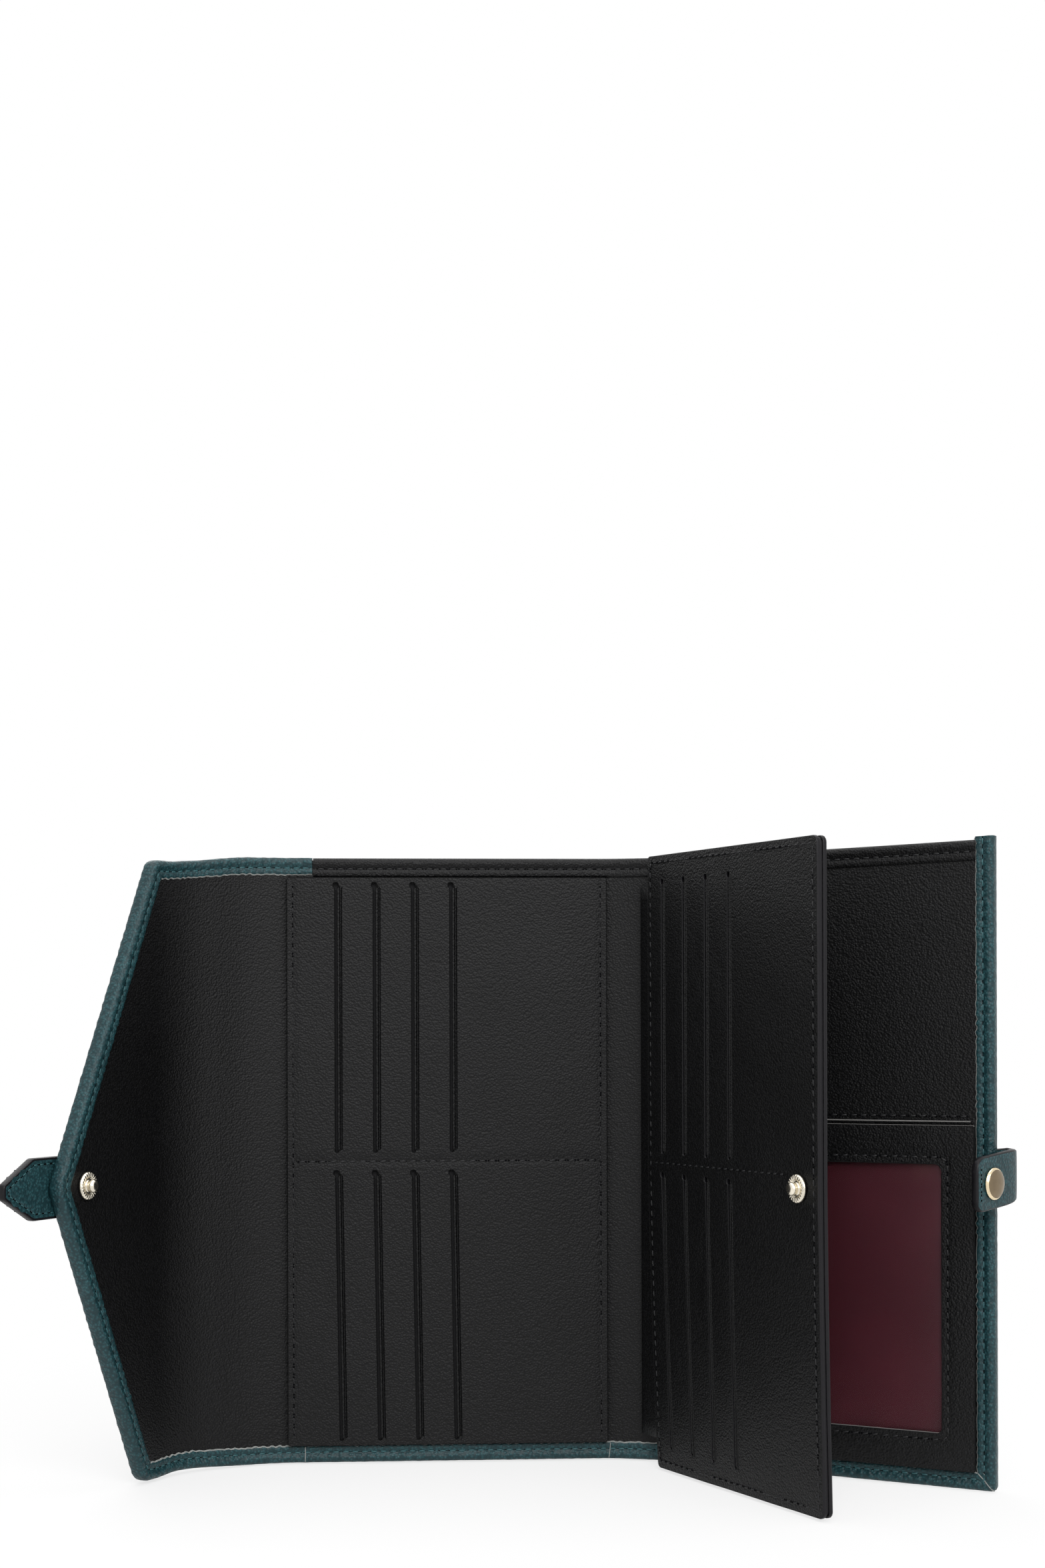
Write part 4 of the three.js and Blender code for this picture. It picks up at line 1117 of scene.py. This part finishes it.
def build_strap():
    line = strap_line()
    lengths = running(line)
    total = lengths[-1]
    t = np.linspace(0, total, 110)
    line = np.stack([np.interp(t, lengths, line[:, i]) for i in range(2)], 1)
    side = leftward(line)
    half_t = STRAP_T / 2
    quarters = np.linspace(-math.pi / 2, math.pi / 2, 5)
    face_columns = 7
    verts, uv, mats = [], [], []

    def droop(distance):
        """The loop stands a little higher than the sewn part, and the free end lower."""
        past = np.clip((distance - 0.55 * total) / (0.45 * total), 0, 1)
        rise = np.clip((distance - 0.35 * total) / (0.2 * total), 0, 1)
        return STRAP_RISE * rise - STRAP_DROOP * past

    for run, p, n in zip(t, line, side):
        waist = math.exp(-(((run / total - STRAP_WAIST_AT) / STRAP_WAIST_REACH) ** 2))
        half_w = (STRAP_W - STRAP_WAIST * waist) / 2
        end = min(run, total - run)
        if end < STRAP_CORNER_R:
            half_w -= STRAP_CORNER_R - math.sqrt(
                STRAP_CORNER_R ** 2 - (STRAP_CORNER_R - end) ** 2)
        thick = half_t * (1.0 if end > 0.35 else 0.72)
        flat_w = half_w - STRAP_RIM
        rim = [(math.sin(a) * thick, flat_w + STRAP_RIM * math.cos(a)) for a in quarters]
        across = np.linspace(flat_w, -flat_w, face_columns + 2)[1:-1]
        ring = (rim + [(thick, w) for w in across] + [(d, -w) for d, w in rim[::-1]]
                + [(-thick, w) for w in across[::-1]])
        for depth, w in ring:
            puff = 0.10 * (1 - (abs(w) / half_w) ** 4) * (abs(depth) > half_t * 0.9)
            d = depth + math.copysign(puff, depth)
            verts.append((p[0] + n[0] * d, p[1] + n[1] * d, CLOSURE_Z + w + droop(run)))
            uv.append((run + (0.4 if depth > 0 else 60), w))
    columns = len(ring)
    painted = [int(j % (columns // 2) < 4) for j in range(columns)]
    for run in t[:-1]:
        mats += [1] * columns if run > total - 0.9 or run < 0.9 else painted
    mats += [1, 1]
    strap = make_object("snap_strap_leather", cover_map(*np.array(verts).T),
                        tube_faces(len(t), columns), [TEAL, EDGE_PAINT], mats, np.array(uv))
    follow(facing_out(strap), "on_cover", ("snap_strap",))

    def strap_map(distance, lift, z):
        """Distance along the strap and height over its nearer face to the row frame."""
        x, y, nx, ny = (np.interp(distance, t, values) for values in (*line.T, *side.T))
        depth = np.where(lift >= 0, 1, -1) * (half_t + 0.1) + lift
        return cover_map(x + nx * depth, y + ny * depth, z + droop(distance))

    low, high = CLOSURE_Z - 6.0, CLOSURE_Z + 6.0
    sew("strap_stitches_end", straight([total - 2.0, low], [total - 2.0, high], step=2.0),
        0.001, 1, strap_map, "on_cover", "teal", pitch=2.5, length=1.3, radius=0.2)
    left = COVER_W - BINDING_W - STRAP_SEWN + 2.0
    right = left + 20.0
    sew("strap_stitches_sewn",
        straight([left, low], [left, high], [right, high], [right, low], [left, low],
                 step=2.0),
        SHELL_OUT + 0.3 + STRAP_T + 0.1, 1, cover_map, "on_cover", "teal", pitch=3.0)


# ---- Tab, studs and caps
flap_map = flat_map(tuple(FOLD_POINTS[0]), HEADINGS[0])
TAB_Y0, TAB_T = 2.6, 2.4
TAB_HALF_W = 9.2
TAB_NOSE_HALF_W = 2.0
TAB_TIP = -FLAP_LENGTH - 19.0
TAB_SHOULDER = TAB_TIP + 13.5
TAB_SEWN = -FLAP_LENGTH + 24
TAB_SEAM_INSET = 2.0


def build_tab():
    low, high = CLOSURE_Z - TAB_HALF_W, CLOSURE_Z + TAB_HALF_W
    outline = spread(rounded([
        [TAB_TIP, CLOSURE_Z - TAB_NOSE_HALF_W, 1.6], [TAB_SHOULDER, low, 3.5],
        [TAB_SEWN, low, 3.5], [TAB_SEWN, high, 3.5], [TAB_SHOULDER, high, 3.5],
        [TAB_TIP, CLOSURE_Z + TAB_NOSE_HALF_W, 1.6]]), 2.0)
    seam = closed_line(outline + mitred(outline, True) * TAB_SEAM_INSET, 2.5)
    make_sheet("closing_tab_leather", outline, TAB_Y0, TAB_Y0 + TAB_T, flap_map,
               [TEAL, EDGE_PAINT], "on_flap", ("closing_tab",),
               grooves=[(seam, 0.6, 0.22)], grid=2.2, edge=0.8, soften=0.05, seed=51,
               rim_material=1, painted_rim=True)
    for face, y, out in (("in", TAB_Y0 + 0.18, -1), ("out", TAB_Y0 + TAB_T, 1)):
        sew(f"closing_tab_stitches_{face}", seam, y, out, flap_map, "on_flap", "teal",
            pitch=2.9, length=2.0, radius=0.2)


def turned(name, s, profile, mapped, materials, body, node, segments, ribs=None, mats=None):
    """A turned piece at s: profile [radius, y]; ribs is (inner, outer, count, height)."""
    verts, faces, face_mats = [], [], []
    columns = len(profile)
    for i in range(segments):
        phi = 2 * math.pi * i / segments
        for radius, y in profile:
            if ribs and ribs[0] < radius < ribs[1]:
                y = y - ribs[3] * max(0.0, math.cos(ribs[2] * phi))
            verts.append((s + radius * math.cos(phi), y, CLOSURE_Z + radius * math.sin(phi)))
    for i in range(segments):
        n = (i + 1) % segments
        for j in range(columns - 1):
            faces.append((i * columns + j, i * columns + j + 1,
                          n * columns + j + 1, n * columns + j))
            face_mats.append(mats[j] if mats else 0)
    obj = make_object(name, mapped(*np.array(verts).T), faces, materials, face_mats)
    follow(facing_out(obj, merge=1e-6), body, (node,))


FLAP_STUD_INSET = 14.7
STUD_FLANGE_T = 0.9
CAP_R, CAP_H = 4.9, 1.9


def male_stud(name, s, seat, back, mapped, body, node):
    """Ribbed press stud, its nub towards the inside."""
    f = seat - STUD_FLANGE_T
    profile = [(0, f - 2.3), (0.7, f - 2.33), (1.2, f - 2.26), (1.6, f - 2.05),
               (1.95, f - 1.6), (2.0, f - 1.2), (1.85, f - 0.8), (1.6, f - 0.5),
               (1.62, f - 0.1), (1.8, f + 0.28), (2.15, f + 0.36), (2.35, f + 0.22),
               (2.6, f + 0.06), (3.0, f - 0.12), (3.5, f - 0.14), (3.85, f - 0.02),
               (4.12, f + 0.2), (4.24, f + 0.5), (4.25, seat), (1.3, seat), (1.3, back),
               (0, back)]
    turned(name, s, profile, mapped, [PALE_GOLD], body, node, 192, (2.4, 4.0, 24, 0.13))


def cap(name, s, seat, radius, height, mapped, body, node):
    """Domed cap with a plain bright rim round its darker top."""
    profile = [(0, seat + 0.5), (1.6, seat + 0.5), (1.6, seat), (radius - 0.25, seat),
               (radius, seat + 0.18)]
    dome = 13
    for k in range(1, dome):
        a = math.pi / 2 * k / (dome - 1)
        profile.append((radius * math.cos(a) if k < dome - 1 else 0,
                        seat + (0.25 + (height - 0.25) * math.sin(a))))
    rim = 8
    mats = [0] * rim + [1] * (len(profile) - 1 - rim)
    turned(name, s, profile, mapped, [GOLD, DARK_GOLD], body, node, 72, mats=mats)


def build_metal():
    stud_s = -FLAP_LENGTH + FLAP_STUD_INSET
    male_stud("flap_press_stud", stud_s, -1.6, 5.6, flap_map, "on_flap", "flap_stud")
    cap("flap_outer_cap", stud_s, 5.3, CAP_R, CAP_H, flap_map, "on_flap",
        "flap_stud_cap")
    male_stud("leaf_press_stud", LEAF_STUD, -LEAF_HALF_T - 0.3, 2.3, leaf_map, "on_leaf",
              "leaf_stud")
    cap("leaf_rivet_back", LEAF_STUD, LEAF_HALF_T + 0.3, 3.8, 1.0, leaf_map, "on_leaf",
        "leaf_stud_back")
    along = HEADINGS[4] + math.atan2(STRAP_FRONT_ALONG[1], STRAP_FRONT_ALONG[0])
    front = cover_map(STRAP_FRONT_AT[:1], STRAP_FRONT_AT[1:], [0.0])[0]
    cap("strap_domed_cap", STRAP_CAP_AT, STRAP_T / 2 + 0.15, CAP_R, CAP_H,
        flat_map(tuple(front[:2]), along), "on_cover", "strap_cap")


def dress_cad():
    """Materials for the CAD pieces that stay visible."""
    looks = {"card_pocket_cloth": POCKET_CLOTH, "window_film": FILM,
             "window_backing": BURGUNDY_SHEENED, "cover_socket": GOLD}
    for name, material in looks.items():
        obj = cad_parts[name]
        obj.data.materials.clear()
        obj.data.materials.append(material)


# ---- Stage
PHOTO_H = 2352
FOCAL_PX = 3298.0
CAMERA_YAW = 3.35
CAMERA_AT = (-14.1, -720.0, 140.9)
HORIZON_ROW = 1544.0
CAMERA_ROLL = 0.157
SENSOR_W = 36.0
# Each light's place, what it points at, its size in metres and its watts
LIGHTS = (("key", (0.05, -1.2, 0.9), (0.02, 0, 0.1), (0.8, 0.8), 12.0),
          ("fill", (0.7, -1.0, 0.6), (0, 0, 0.1), (0.7, 0.7), 3.0),
          ("top", (0.0, 0.1, 1.4), (0, 0, 0), (1.6, 1.2), 11.0),
          ("back", (-0.3, 1.2, 0.8), (0, 0, 0.1), (1.0, 0.8), 4.0))
AMBIENT = 0.32
FLOOR_HALF, FLOOR_DROP = 6.0, 0.0004


def build_camera():
    data = bpy.data.cameras.new("camera")
    data.sensor_fit = "AUTO"
    data.sensor_width = SENSOR_W
    data.lens = FOCAL_PX / PHOTO_H * SENSOR_W
    data.shift_y = (HORIZON_ROW - PHOTO_H / 2) / PHOTO_H
    data.clip_start, data.clip_end = 0.01, 20.0
    camera = bpy.data.objects.new("camera", data)
    bpy.context.scene.collection.objects.link(camera)
    camera.location = Vector(CAMERA_AT) * MM
    camera.rotation_euler = (math.radians(90), math.radians(CAMERA_ROLL),
                             -math.radians(CAMERA_YAW))
    bpy.context.scene.camera = camera


def area_light(name, location, target, size, power):
    data = bpy.data.lights.new(name, "AREA")
    data.shape = "RECTANGLE"
    data.size, data.size_y = size
    data.energy = power
    obj = bpy.data.objects.new(name, data)
    obj.location = location
    obj.rotation_euler = (Vector(target) - Vector(location)).to_track_quat(
        "-Z", "Y").to_euler()
    bpy.context.scene.collection.objects.link(obj)


def seen_directly(tree):
    """1 for camera, glossy and transmission rays, and 0 for the light on the object."""
    path = tree.nodes.new("ShaderNodeLightPath")
    total = path.outputs["Is Camera Ray"]
    for kind in ("Is Glossy Ray", "Is Transmission Ray"):
        add = tree.nodes.new("ShaderNodeMath")
        add.operation = "MAXIMUM"
        tree.links.new(total, add.inputs[0])
        tree.links.new(path.outputs[kind], add.inputs[1])
        total = add.outputs[0]
    return total


def floor_material():
    """White floor that keeps the shadow near the wallet and is plain white further off."""
    n = Nodes("floor_white")
    n.set(Base_Color=(0.93, 0.93, 0.93, 1), Roughness=0.9, Specular_IOR_Level=0.1)
    away = n.add("ShaderNodeVectorMath", operation="LENGTH")
    n.link(n.place.outputs["Object"], away.inputs[0])
    fade = n.add("ShaderNodeMapRange", interpolation_type="SMOOTHSTEP")
    for key, value in (("From Min", 0.08), ("From Max", 0.32), ("To Min", 0.72),
                       ("To Max", 1.0)):
        fade.inputs[key].default_value = value
    n.link(away.outputs["Value"], fade.inputs["Value"])
    white = n.add("ShaderNodeEmission", Strength=1.0)
    mix = n.add("ShaderNodeMixShader")
    n.link(n.math("MULTIPLY", fade.outputs["Result"], seen_directly(n.tree)), mix.inputs[0])
    n.link(n.shader.outputs[0], mix.inputs[1])
    n.link(white.outputs[0], mix.inputs[2])
    n.link(mix.outputs[0], n.tree.nodes["Material Output"].inputs["Surface"])
    return n.material


def build_stage():
    mesh = bpy.data.meshes.new("floor")
    mesh.from_pydata([(x * FLOOR_HALF, y * FLOOR_HALF, 0)
                      for x, y in ((-1, -1), (1, -1), (1, 1), (-1, 1))], [], [(0, 1, 2, 3)])
    floor = bpy.data.objects.new("floor", mesh)
    bpy.context.scene.collection.objects.link(floor)
    floor.location.z = -FLOOR_DROP
    mesh.materials.append(floor_material())

    world = bpy.data.worlds.new("world")
    bpy.context.scene.world = world
    world.use_nodes = True
    tree = world.node_tree
    background = tree.nodes["Background"]
    mix = tree.nodes.new("ShaderNodeMixShader")
    seen = tree.nodes.new("ShaderNodeBackground")
    seen.inputs["Color"].default_value = (1, 1, 1, 1)
    seen.inputs["Strength"].default_value = 1.0
    background.inputs["Color"].default_value = (1, 1, 1, 1)
    background.inputs["Strength"].default_value = AMBIENT
    tree.links.new(seen_directly(tree), mix.inputs[0])
    tree.links.new(background.outputs[0], mix.inputs[1])
    tree.links.new(seen.outputs[0], mix.inputs[2])
    tree.links.new(mix.outputs[0], tree.nodes["World Output"].inputs["Surface"])

    for light in LIGHTS:
        area_light(*light)
    bpy.context.scene.view_settings.view_transform = "Standard"


build_camera()
build_walls()
build_bindings()
build_hem()
build_card_panel()
build_leaf()
build_window_pocket()
build_strap()
build_tab()
build_metal()
dress_cad()
build_stage()
